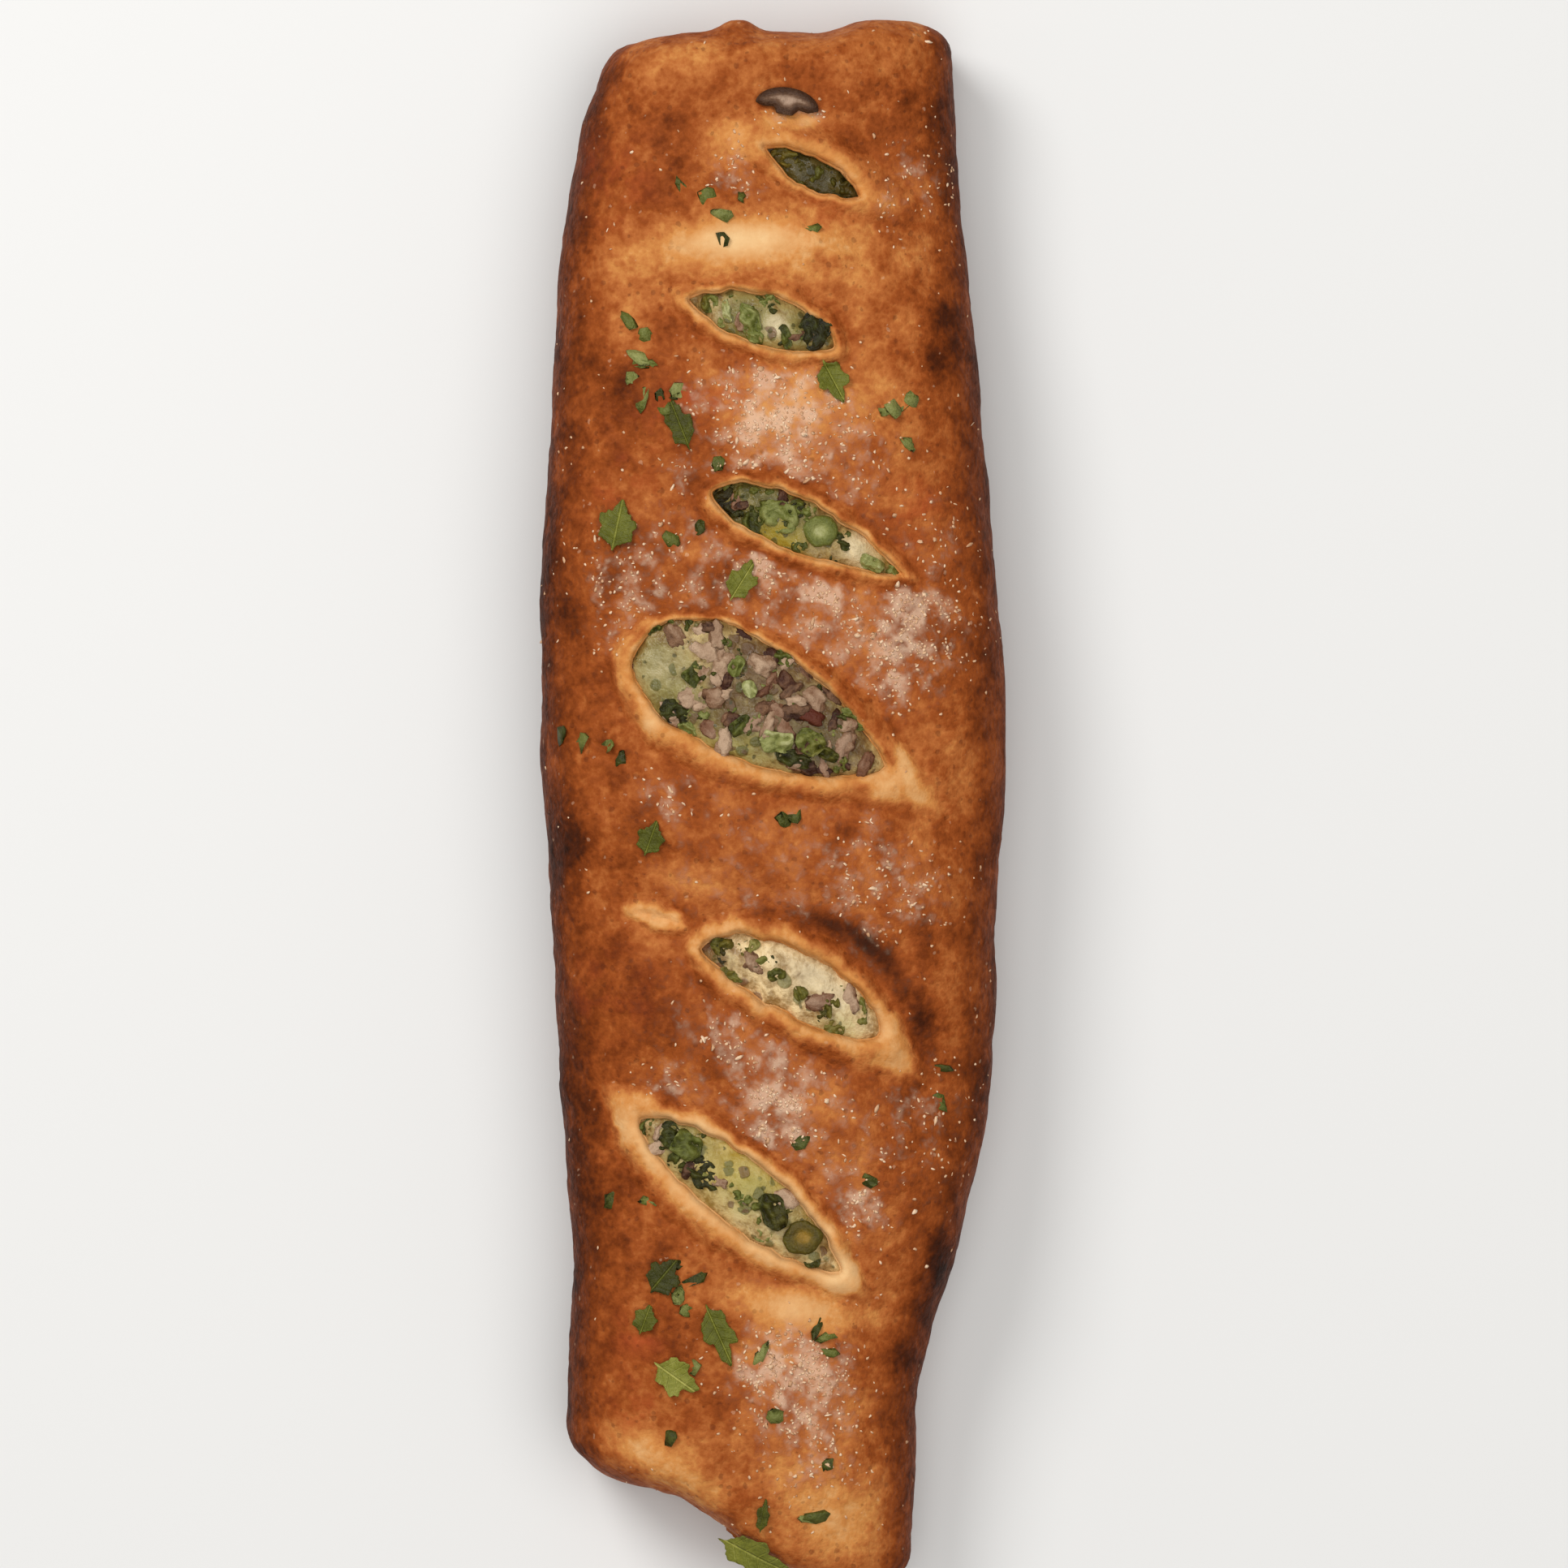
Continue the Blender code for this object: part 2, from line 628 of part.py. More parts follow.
def join_and_cut(obj, joined, cut):
    """Applies one union with a collection, then one difference with another, and removes both."""
    for collection, operation in ((joined, "UNION"), (cut, "DIFFERENCE")):
        if collection is None:
            continue
        modifier = obj.modifiers.new(operation.lower(), "BOOLEAN")
        modifier.operation = operation
        modifier.operand_type = "COLLECTION"
        modifier.collection = collection
        modifier.solver = "MANIFOLD"
    bpy.context.view_layer.update()
    graph = bpy.context.evaluated_depsgraph_get()
    mesh = bpy.data.meshes.new_from_object(obj.evaluated_get(graph))
    obj.modifiers.clear()
    obj.data = mesh
    for collection in (joined, cut):
        if collection is None:
            continue
        for helper in list(collection.objects):
            bpy.data.objects.remove(helper)
        bpy.data.collections.remove(collection)
    keep_largest_body(obj.data)


def keep_largest_body(mesh):
    """Drops any scrap that a Boolean left loose."""
    bm = bmesh.new()
    bm.from_mesh(mesh)
    bmesh.ops.remove_doubles(bm, verts=bm.verts, dist=1e-6)
    left, bodies = set(bm.verts), []
    while left:
        body, edge_of = set(), [left.pop()]
        while edge_of:
            vert = edge_of.pop()
            body.add(vert)
            for edge in vert.link_edges:
                other = edge.other_vert(vert)
                if other in left:
                    left.remove(other)
                    edge_of.append(other)
        bodies.append(body)
    largest = max(bodies, key=len)
    scraps = [vert for body in bodies if body is not largest for vert in body]
    bmesh.ops.delete(bm, geom=scraps, context="VERTS")
    bm.to_mesh(mesh)
    bm.free()


def finish_object(obj, slot, sharp_degrees=38.0):
    obj.data.materials.clear()
    obj.data.materials.append(bpy.data.materials.get(slot) or principled(slot))
    obj.data.shade_smooth()
    obj.data.set_sharp_from_angle(angle=math.radians(sharp_degrees))


def make_crust():
    draw = random.Random(SEED)
    crust = add_object("crust", body_mesh("crust", 0.0, 0.0, AROUND, ALONG, CAP_RINGS, True))
    joined = helper_collection("joined")
    for name, slash in {**SLASHES, **NICKS}.items():
        for side in (1, -1):
            lip_tube(f"lip_{name}_{side}", slash, side, joined)
    make_nubs(joined, draw)
    flakes = make_flakes(joined, draw)
    make_grains(joined, draw, flakes)
    cut = helper_collection("cut")
    cavity = body_mesh("cavity", WALL, END_WALL, CAVITY_AROUND, CAVITY_ALONG, CAVITY_CAP_RINGS)
    add_object("cavity", cavity, cut)
    for name, (opening, _) in SLASHES.items():
        levels = (
            (WALL_TAPER, -WALL - 0.0020),
            (0.0, 0.0),
            (-WALL_TAPER, LIP_RADII[1] + 0.0020),
        )
        lens_prism(f"cutter_{name}", opening, levels, cut)
    join_and_cut(crust, joined, cut)
    finish_object(crust, "crust")
    return crust


def make_filling():
    draw = random.Random(SEED + 1)
    core = body_mesh(
        "filling", WALL + GAP, END_WALL + GAP, CAVITY_AROUND, CAVITY_ALONG, CAVITY_CAP_RINGS
    )
    filling = add_object("filling", core)
    joined = helper_collection("risen")
    for name, (opening, _) in SLASHES.items():
        inset = WALL_TAPER + MOUND_GAP
        levels = (
            (inset, -WALL - 0.0030),
            (inset, -MOUND_DROP - 0.0012),
            (inset + 0.0007, -MOUND_DROP),
        )
        lens_prism(f"mound_{name}", opening, levels, joined)
        make_lumps(name, opening, joined, draw)
    join_and_cut(filling, joined, None)
    finish_object(filling, "filling")
    return filling


def make_lumps(name, opening, collection, draw):
    """Chopped greens, mushroom and cheese that stand up from the filling in a slash."""
    edge = WALL_TAPER + LUMP_CLEARANCE
    half_long = lens_frame(opening)[1]
    for i in range(LUMPS_PER_SLASH[name]):
        for _ in range(80):
            t = draw.uniform(-0.9, 0.9)
            high = lens_width(opening, t, 1) - edge
            low = -lens_width(opening, t, -1) + edge
            radius = min(draw.uniform(*LUMP_RADII), (high - low) / 2)
            beside = [lens_room(opening, t + sign * radius / half_long) for sign in (1, -1)]
            if radius < LUMP_RADII[0] or min(beside) < 2 * edge + 1.6 * radius:
                continue
            across = draw.uniform(low + radius, high - radius)
            middle, _, u, v = lens_frame(opening)
            spot = middle + u * (t * half_long) + v * across
            height = skin_height(spot.x, spot.y) - MOUND_DROP - 0.2 * radius
            turn = Matrix.Rotation(draw.uniform(0, math.pi), 3, "Z")
            radii = (radius * 0.88, radius * 0.8, radius * 0.7)
            place = Vector((spot.x, spot.y, height))
            lump(f"lump_{name}_{i}", place, radii, turn, 1, draw, collection)
            break


class Ground:
    """The pieces that leaves rest on, for finding the height of what lies under a point."""

    def __init__(self, objects):
        bm = bmesh.new()
        for obj in objects:
            bm.from_mesh(obj.data)
        self.tree = BVHTree.FromBMesh(bm)
        bm.free()

    def height(self, x, y):
        hit = self.tree.ray_cast(Vector((x, y, 0.2)), Vector((0, 0, -1)))[0]
        return hit.z if hit else 0.0

    def seat(self, x, y):
        """The highest spot near a point, so that a flat facet between points stays clear."""
        spots = [(x, y)]
        for i in range(8):
            angle = math.pi * i / 4
            spots.append((x + SEAT_REACH * math.cos(angle), y + SEAT_REACH * math.sin(angle)))
        return max(self.height(*spot) for spot in spots)


def leaf_plan(x, y, length, width, heading):
    """Rows of (x, y, curl) over a lobed leaf, tapered at both ends."""
    angle = math.radians(heading)
    rows = []
    for i in range(LEAF_STEPS_LONG + 1):
        t = i / LEAF_STEPS_LONG
        lobes = 0.80 + 0.20 * abs(math.cos(2.5 * math.pi * t))
        reach = width / 2 * lobes * max(0.16, math.sin(math.pi * t**0.85)) ** 0.7
        row = []
        for j in range(LEAF_STEPS_WIDE + 1):
            side = 2.0 * j / LEAF_STEPS_WIDE - 1.0
            along, across = (t - 0.5) * length, side * reach
            px = x + along * math.cos(angle) - across * math.sin(angle)
            py = y + along * math.sin(angle) + across * math.cos(angle)
            curl = LEAF_CURL * (0.5 + 0.5 * math.sin(7.0 * t + 2.5 * side)) * side * side
            row.append((px, py, curl))
        rows.append(row)
    return rows


def make_leaf(name, ground, *plan):
    """A thin wavy leaf that follows the skin under it, with both faces split alike."""
    rows = leaf_plan(*plan)
    top, held = max((ground.seat(px, py), (px, py)) for row in rows for px, py, _ in row)
    bm = bmesh.new()
    under, over = [], []
    for row in rows:
        low_row, high_row = [], []
        for px, py, curl in row:
            drooped = top - LEAF_DROOP * math.dist(held, (px, py))
            z = max(ground.seat(px, py), drooped) + LEAF_GAP + curl
            low_row.append(bm.verts.new((px, py, z)))
            high_row.append(bm.verts.new((px, py, z + LEAF_THICKNESS)))
        under.append(low_row)
        over.append(high_row)
    fill_leaf(bm, under, over)
    mesh = bpy.data.meshes.new(name)
    bm.to_mesh(mesh)
    bm.free()
    leaf = add_object(name, mesh)
    finish_object(leaf, "parsley", 60.0)
    return leaf


def fill_leaf(bm, under, over):
    rows, columns = len(under), len(under[0])
    for i in range(rows - 1):
        for j in range(columns - 1):
            for grid, flip in ((under, True), (over, False)):
                a, b = grid[i][j], grid[i + 1][j]
                c, d = grid[i + 1][j + 1], grid[i][j + 1]
                for corners in ((a, b, c), (a, c, d)):
                    bm.faces.new(corners[::-1] if flip else corners)
    rim = [(i, 0) for i in range(rows)]
    rim += [(rows - 1, j) for j in range(1, columns)]
    rim += [(i, columns - 1) for i in range(rows - 2, -1, -1)]
    rim += [(0, j) for j in range(columns - 2, 0, -1)]
    for (i, j), (k, m) in zip(rim, rim[1:] + rim[:1]):
        bm.faces.new((under[i][j], under[k][m], over[k][m], over[i][j]))
    bmesh.ops.recalc_face_normals(bm, faces=bm.faces)


def mushroom_outline():
    """Half a mushroom cut lengthwise: a domed cap over a short stem."""
    outline = []
    for i in range(11):
        angle = math.pi * i / 10
        outline.append((MUSHROOM_LENGTH / 2 * math.cos(angle), 0.62 * math.sin(angle) - 0.12))
    stem = ((-0.34, -0.20), (-0.16, -0.12), (-0.13, -0.40), (0.13, -0.40), (0.16, -0.12), (0.34, -0.20))
    outline += [(MUSHROOM_LENGTH * x, y) for x, y in stem]
    return [(x, MUSHROOM_WIDTH * y) for x, y in outline]


def make_mushroom(ground):
    x, y, heading = MUSHROOM
    angle = math.radians(heading)
    rings = []
    for height in (0.0, MUSHROOM_THICKNESS * 0.8, MUSHROOM_THICKNESS):
        shrink = 0.90 if height == MUSHROOM_THICKNESS else 1.0
        ring = []
        for along, across in mushroom_outline():
            px = x + shrink * (along * math.cos(angle) - across * math.sin(angle))
            py = y + shrink * (along * math.sin(angle) + across * math.cos(angle))
            ring.append(Vector((px, py, ground.seat(px, py) + LEAF_GAP + height)))
        rings.append(ring)
    ends = [sum(ring, Vector()) / len(ring) for ring in (rings[0], rings[-1])]
    slice_object = add_object("mushroom_slice", rings_to_mesh("mushroom_slice", rings, ends))
    finish_object(slice_object, "mushroom")
    return slice_object


def centre_on_origin(objects):
    """Moves the finished pieces so that the middle of their box is over the origin."""
    corners = [obj.matrix_world @ v.co for obj in objects for v in obj.data.vertices]
    low = [min(corner[i] for corner in corners) for i in range(3)]
    high = [max(corner[i] for corner in corners) for i in range(3)]
    shift = Vector((-(low[0] + high[0]) / 2, -(low[1] + high[1]) / 2, -low[2]))
    for obj in objects:
        obj.data.transform(Matrix.Translation(shift))


def main():
    clear_scene()
    pieces = [make_crust(), make_filling()]
    ground = Ground(pieces)
    pieces.append(make_mushroom(ground))
    for i, leaf in enumerate(LEAVES):
        pieces.append(make_leaf(f"parsley_leaf_{i + 1}", ground, *leaf))
    centre_on_origin(pieces)


main()
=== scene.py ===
# Stromboli: a baked loaf of bread dough rolled round cheese, greens and mushroom, with six open slashes
# Shapes are worked out in millimetres and become metres when a mesh is made

import math

import bmesh
import bpy
import numpy as np
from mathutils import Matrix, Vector, noise
from mathutils.bvhtree import BVHTree
from mathutils.geometry import delaunay_2d_cdt
from mathutils.kdtree import KDTree


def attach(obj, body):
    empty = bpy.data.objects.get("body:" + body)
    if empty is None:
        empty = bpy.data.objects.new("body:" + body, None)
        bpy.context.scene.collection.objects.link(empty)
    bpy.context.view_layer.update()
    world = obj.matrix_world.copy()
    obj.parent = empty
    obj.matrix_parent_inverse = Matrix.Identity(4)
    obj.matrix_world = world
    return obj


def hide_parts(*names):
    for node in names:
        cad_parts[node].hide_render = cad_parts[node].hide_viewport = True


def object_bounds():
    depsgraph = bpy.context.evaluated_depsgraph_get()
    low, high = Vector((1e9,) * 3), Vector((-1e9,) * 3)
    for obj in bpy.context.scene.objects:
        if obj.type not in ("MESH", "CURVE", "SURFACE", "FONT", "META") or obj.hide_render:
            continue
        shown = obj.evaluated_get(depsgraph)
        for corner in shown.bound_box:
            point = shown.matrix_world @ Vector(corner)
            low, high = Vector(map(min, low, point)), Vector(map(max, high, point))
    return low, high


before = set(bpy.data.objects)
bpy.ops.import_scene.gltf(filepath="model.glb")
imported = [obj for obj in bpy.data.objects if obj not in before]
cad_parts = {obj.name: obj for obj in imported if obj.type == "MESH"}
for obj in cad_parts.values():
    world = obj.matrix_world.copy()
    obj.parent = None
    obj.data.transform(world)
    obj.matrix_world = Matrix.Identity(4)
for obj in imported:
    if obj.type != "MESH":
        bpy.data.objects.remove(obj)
cadBox = [list(corner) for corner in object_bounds()]
mm = 0.001
planShift = (0.2995, -0.2430)  # the solids are centred on the origin by this move
noise.seed_set(7)  # vector noise is drawn from this, else from the clock
print("frame loaded:", len(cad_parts), "nodes")


# Camera, light and floor
studio = {
    "cameraHeight": 3.0,
    "cameraOver": (2.08, 4.57),
    "pictureWidth": 321.1,  # what the square picture spans at the loaf's waist
    "waistHeight": 18.0,
    "keyPlace": (-0.75, 0.85, 1.15),
    "keySize": 0.7,
    "keyPower": 14.0,
    "fillPlace": (0.35, -0.25, 1.9),
    "fillSize": 2.2,
    "fillPower": 24.0,
    "skyStrength": 0.33,
    "floorSize": 6.0,
}


def placeLight(name, place, size, power):
    lamp = bpy.data.lights.new(name, "AREA")
    lamp.shape = "DISK"
    lamp.size = size
    lamp.energy = power
    light = bpy.data.objects.new(name, lamp)
    light.location = place
    light.rotation_euler = Vector(place).to_track_quat("Z", "Y").to_euler()
    bpy.context.scene.collection.objects.link(light)


def setUpStudio():
    scene = bpy.context.scene
    lens = bpy.data.cameras.new("camera")
    lens.sensor_fit = "HORIZONTAL"
    lens.sensor_width = 36.0
    reach = studio["cameraHeight"] - studio["waistHeight"] * mm
    lens.lens = lens.sensor_width * reach / (studio["pictureWidth"] * mm)
    lens.clip_end = 50.0
    camera = bpy.data.objects.new("camera", lens)
    x, y = studio["cameraOver"]
    camera.location = ((x + planShift[0]) * mm, (y + planShift[1]) * mm, studio["cameraHeight"])
    scene.collection.objects.link(camera)
    scene.camera = camera
    scene.view_settings.view_transform = "Standard"
    placeLight("key", studio["keyPlace"], studio["keySize"], studio["keyPower"])
    placeLight("fill", studio["fillPlace"], studio["fillSize"], studio["fillPower"])
    world = bpy.data.worlds.new("studio")
    world.use_nodes = True
    sky = world.node_tree.nodes["Background"]
    sky.inputs["Color"].default_value = (1.0, 0.985, 0.96, 1.0)
    sky.inputs["Strength"].default_value = studio["skyStrength"]
    scene.world = world
    half = studio["floorSize"] / 2
    mesh = bpy.data.meshes.new("floor")
    corners = [(-half, -half, 0), (half, -half, 0), (half, half, 0), (-half, half, 0)]
    mesh.from_pydata(corners, [], [(0, 1, 2, 3)])
    floor = bpy.data.objects.new("floor", mesh)
    paint = bpy.data.materials.new("paleFloor")
    paint.use_nodes = True
    shader = paint.node_tree.nodes["Principled BSDF"]
    shader.inputs["Base Color"].default_value = (0.74, 0.735, 0.72, 1.0)
    shader.inputs["Roughness"].default_value = 0.6
    mesh.materials.append(paint)
    scene.collection.objects.link(floor)


setUpStudio()
print("studio ready")


# The loaf's body, the same rules as its solid
loaf = {
    "length": 324.5,
    "height": 44.0,
    "waist": 0.40,  # height of the widest line, as a share
    "roundness": 2.5,
    "footDrop": 3.0,
    "capLength": 10.0,
    "capRoundness": 3.2,
    "earReach": 4.0,
    "earFrom": 0.22,
    "earTo": 0.58,
    "wall": 5.0,
    "endWall": 12.0,
    "gap": 0.4,
    "creaseDepth": 2.2,
    "creaseWidth": 2.8,
    "creaseRise": 0.3,
    # share of the length from the far end, middle line's x, half width
    "plan": [
        (0.03, 0.7, 35.8), (0.12, -2.2, 40.2), (0.25, -1.2, 43.7), (0.37, -1.1, 46.7), (0.46, 0.2, 47.5),
        (0.56, 0.3, 45.7), (0.68, 0.3, 43.7), (0.77, -1.8, 39.9), (0.86, -5.8, 36.1), (0.96, -7.4, 35.4),
    ],
    "rise": [(0, 0.74), (0.12, 0.86), (0.32, 0.97), (0.5, 1.0), (0.7, 0.95), (0.88, 0.84), (1, 0.7)],
    # how far back the near end runs, from its left corner to its right one
    "slant": [
        (-1, 26.2), (-0.65, 22.6), (-0.37, 20.9), (-0.18, 17.1), (0.1, 9.8), (0.31, 5), (0.55, 1.6),
        (0.8, 0), (1, 0.8),
    ],
}


def smoothstep(low, high, value):
    share = np.clip((value - low) / (high - low), 0.0, 1.0)
    return share * share * (3.0 - 2.0 * share)


def stationCurve(stations, share, column=1):
    table = np.array(stations, float)
    xs, ys = table[:, 0], table[:, column]
    slopes = np.gradient(ys, xs)
    slopes[1:-1] = (ys[2:] - ys[:-2]) / (xs[2:] - xs[:-2])
    share = np.clip(share, xs[0], xs[-1])
    i = np.clip(np.searchsorted(xs, share) - 1, 0, len(xs) - 2)
    step = xs[i + 1] - xs[i]
    t = (share - xs[i]) / step
    return (
        (2 * t**3 - 3 * t**2 + 1) * ys[i]
        + (t**3 - 2 * t**2 + t) * slopes[i] * step
        + (3 * t**2 - 2 * t**3) * ys[i + 1]
        + (t**3 - t**2) * slopes[i + 1] * step
    )


def middleLine(y):
    return stationCurve(loaf["plan"], 0.5 - y / loaf["length"], 1)


def halfWidth(y):
    return stationCurve(loaf["plan"], 0.5 - y / loaf["length"], 2)


def crownHeight(y):
    return loaf["height"] * stationCurve(loaf["rise"], 0.5 - y / loaf["length"])


def farEnd(across):
    return loaf["length"] / 2 - loaf["earReach"] * smoothstep(loaf["earTo"], loaf["earFrom"], across)


def nearEnd(across):
    return -loaf["length"] / 2 + stationCurve(loaf["slant"], across)


def plainSkin(x, y):
    # height of the bare crust over a point of the plan
    across = np.minimum(0.995, np.abs(x - middleLine(y)) / halfWidth(y))
    crown = crownHeight(y)
    waist = loaf["waist"] * crown
    power = loaf["roundness"]
    return waist + (crown - waist) * (1.0 - across**power) ** (1.0 / power)


# A girth table: arc length from the crown down one side, against the unit cross-section
angles = np.linspace(math.pi / 2, -math.pi / 2, 1441)
unitPower = 2.0 / loaf["roundness"]
girthAcross = np.abs(np.cos(angles)) ** unitPower
girthUp = np.sign(np.sin(angles)) * np.abs(np.sin(angles)) ** unitPower
meanHalfWidth, meanCrown = 43.0, 41.0
meanWaist = loaf["waist"] * meanCrown
girthHeight = np.where(
    girthUp > 0,
    meanWaist + girthUp * (meanCrown - meanWaist),
    np.maximum(0.0, meanWaist + girthUp * (meanWaist + loaf["footDrop"])),
)
girthArc = np.concatenate(
    ([0.0], np.cumsum(np.hypot(np.diff(girthAcross) * meanHalfWidth, np.diff(girthHeight))))
)
halfGirth = girthArc[-1]
topCount = int(np.argmax(girthAcross))
middleLength = 300.0

# The rounded ends: how far each ring stands from the end face, its scale, and a distance that
# grows towards the pole so that rings there may hold fewer points
capAngles = np.linspace(math.pi / 2, 0.004, 1800)
capScale = np.sin(capAngles) ** (2.0 / loaf["capRoundness"])
capOffset = loaf["capLength"] * (1.0 - np.cos(capAngles) ** (2.0 / loaf["capRoundness"]))
capStep = np.hypot(np.diff(capOffset), np.diff(capScale) * meanHalfWidth)
capReach = np.concatenate(([0.0], np.cumsum(capStep / capScale[1:])))


def bodyPoint(u, v, inset=0.0, endInset=0.0):
    # u runs round the girth from the crown, v from the far end to the near one
    across = np.sign(u) * np.interp(np.abs(u), girthArc, girthAcross)
    up = np.interp(np.abs(u), girthArc, girthUp)
    beyond = np.maximum(-v, v - middleLength)
    scale = np.interp(beyond, capReach, capScale)
    offset = np.interp(beyond, capReach, capOffset)
    across, up = across * scale, up * scale
    far, near = farEnd(across) - endInset, nearEnd(across) + endInset
    cap = loaf["capLength"]
    y = far - cap + v / middleLength * (near - far + 2 * cap)
    y = np.where(v < 0, far - offset, np.where(v > middleLength, near + offset, y))
    crown = crownHeight(y)
    waist = loaf["waist"] * crown
    x = middleLine(y) + across * (halfWidth(y) - inset)
    upper = waist + up * (crown - waist - inset)
    lower = np.maximum(inset, waist + up * (waist + loaf["footDrop"] - inset))
    z = np.where(up > 0, upper, lower)
    if not inset:
        crease = crown * (loaf["creaseRise"] + 0.05 * np.sin(x * 0.095))
        fromEnd = np.minimum(far - y, y - near)
        pull = np.exp(-(((z - crease) / loaf["creaseWidth"]) ** 2)) * smoothstep(20.0, 4.0, fromEnd)
        y = y - np.sign(y) * loaf["creaseDepth"] * pull
    return x, y, z, up


def domainOf(x, y):
    # where a point of the plan lies on the top, as (u, v)
    across = (x - middleLine(y)) / halfWidth(y)
    u = np.sign(across) * np.interp(np.abs(across), girthAcross[:topCount], girthArc[:topCount])
    far, near, cap = farEnd(across), nearEnd(across), loaf["capLength"]
    return u, (far - cap - y) / (far - near - 2 * cap) * middleLength


def makeMesh(name, points, faces):
    # points are in millimetres; whatever is made is moved as the solids are
    mesh = bpy.data.meshes.new(name)
    spots = (np.asarray(points, float) + (planShift[0], planShift[1], 0.0)) * mm
    mesh.from_pydata(spots.tolist(), [], faces)
    mesh.validate()
    mesh.shade_smooth()
    return mesh


def turnedTo(plan, x, y, turn):
    # points turned about their own origin and moved to a place of the plan
    c, s = math.cos(math.radians(turn)), math.sin(math.radians(turn))
    return np.column_stack((x + plan[:, 0] * c - plan[:, 1] * s, y + plan[:, 0] * s + plan[:, 1] * c))


def makeObject(name, mesh):
    piece = bpy.data.objects.new(name, mesh)
    bpy.context.scene.collection.objects.link(piece)
    return piece


def meshPoints(mesh):
    # a mesh's vertices back in millimetres of the plan
    flat = np.empty(len(mesh.vertices) * 3)
    mesh.vertices.foreach_get("co", flat)
    return flat.reshape(-1, 3) / mm - (planShift[0], planShift[1], 0.0)


def storeValues(mesh, name, values):
    layer = mesh.attributes.new(name, "FLOAT", "POINT")
    layer.data.foreach_set("value", np.ascontiguousarray(values, dtype=np.float32))


# Slashes: opening and rim, each a lens: left tip, right tip, then bulge and shape at the left and
# right tips of the upper edge and of the lower edge. Then the lip's height, how deep the filling
# lies, the browning of the cut dough, how far above and below it stays pale, the browning of the
# slash's tail and of its rim, how light the filling is (its own colour, with painted shade in the
# deeper openings), and how faint the rim gets away from it
slashes = {
    "first": {
        "opening": (-2.0, 134.3, 17.6, 124.1, 3.4, 0.95, 0.8, 3.6, 1.0, 0.85),
        "rim": (-11.4, 138.9, 30.5, 119.6, 8.2, 0.6, 0.9, 6.1, 0.8, 0.8),
        "lip": 1.3, "drop": 4.0, "pale": 0.31, "paleReach": (3.2, 1.0), "tail": 0.44,
        "rimBake": 0.45, "shade": 0.36, "faint": 0.75,
    },
    "second": {
        "opening": (-17.5, 103.3, 12.4, 93.3, 6.0, 0.75, 0.6, 4.3, 0.8, 0.75),
        "rim": (-21.5, 105.6, 15.0, 91.3, 9.2, 0.9, 0.6, 6.9, 0.65, 0.75),
        "lip": 1.2, "drop": 2.6, "pale": 0.3, "paleReach": (1.0, 1.5), "tail": 0.42,
        "rimBake": 0.5, "shade": 0.66, "faint": 0.0,
    },
    "third": {
        "opening": (-12.7, 64.1, 26.3, 47.1, 6.1, 0.65, 1.05, 4.6, 0.55, 0.85),
        "rim": (-15.2, 64.1, 29.7, 46.1, 8.8, 0.6, 0.9, 7.1, 0.5, 0.7),
        "lip": 1.1, "drop": 2.8, "pale": 0.3, "paleReach": (0.9, 1.3), "tail": 0.36,
        "rimBake": 0.53, "shade": 0.6, "faint": 0.0,
    },
    "fourth": {
        "opening": (-28.2, 31.2, 22.7, 8.1, 13.2, 0.45, 0.85, 11.1, 0.5, 0.7),
        "rim": (-32.8, 31.2, 34.3, -2.4, 18.0, 0.5, 0.8, 14.2, 0.7, 1.5),
        "lip": 1.5, "drop": 1.9, "pale": 0.32, "paleReach": (1.0, 3.0), "tail": 0.32,
        "rimBake": 0.57, "shade": 0.74, "faint": 0.0,
    },
    "fifth": {
        "opening": (-14.9, -29.0, 21.4, -46.3, 8.4, 0.55, 0.6, 4.4, 0.7, 0.5),
        "rim": (-17.5, -27.7, 30.7, -56.9, 15.2, 0.5, 0.75, 7.0, 0.5, 0.95),
        "lip": 1.5, "drop": 2.0, "pale": 0.32, "paleReach": (3.3, 2.8), "tail": 0.35,
        "rimBake": 0.64, "shade": 1.0, "faint": 0.0,
    },
    "sixth": {
        "opening": (-27.2, -63.6, 13.7, -94.5, 7.3, 0.75, 0.85, 6.1, 0.6, 0.6),
        "rim": (-34.5, -56.3, 19.4, -101.1, 10.3, 1.0, 0.8, 12.4, 0.8, 1.1),
        "lip": 1.5, "drop": 2.3, "pale": 0.25, "paleReach": (2.4, 3.8), "tail": 0.33,
        "rimBake": 0.6, "shade": 0.84, "faint": 0.0,
    },
    "nick": {
        "opening": (-28.0, -21.5, -18.5, -24.0, 0.8, 0.6, 0.6, 0.8, 0.6, 0.6),
        "rim": (-31.0, -20.2, -17.2, -25.0, 3.0, 0.6, 0.6, 2.6, 0.6, 0.6),
        "lip": 0.9, "drop": 0.0, "pale": 0.3, "paleReach": (2.0, 2.0), "tail": 0.34,
        "rimBake": 0.6, "shade": 1.0, "faint": 0.0,
    },
}
lipShape = {
    "shoulder": 0.9,  # radius of the edge that rolls into the opening
    "shallow": 0.35,  # how much of that roll a slash that stayed closed has
    "perWidth": 0.42,  # a lip's greatest height, as a share of its width
    "uneven": 0.55,
    "peak": 0.40,  # where the lip is highest, from the opening to the rim
    "crease": 0.40,  # dip just outside the rim
    "creaseReach": 1.6,
    "tailFade": 6.0,  # lips flatten this far from the opening
    "pillowRise": 1.1,
    "pillowReach": 11.0,
    # inside an opening: distance from its edge, height under the skin
    "wallInset": [0.0, 0.15, 0.35, 0.6, 40.0],
    "wallDepth": [-0.9, -2.0, -3.8, -8.5, -8.5],
}


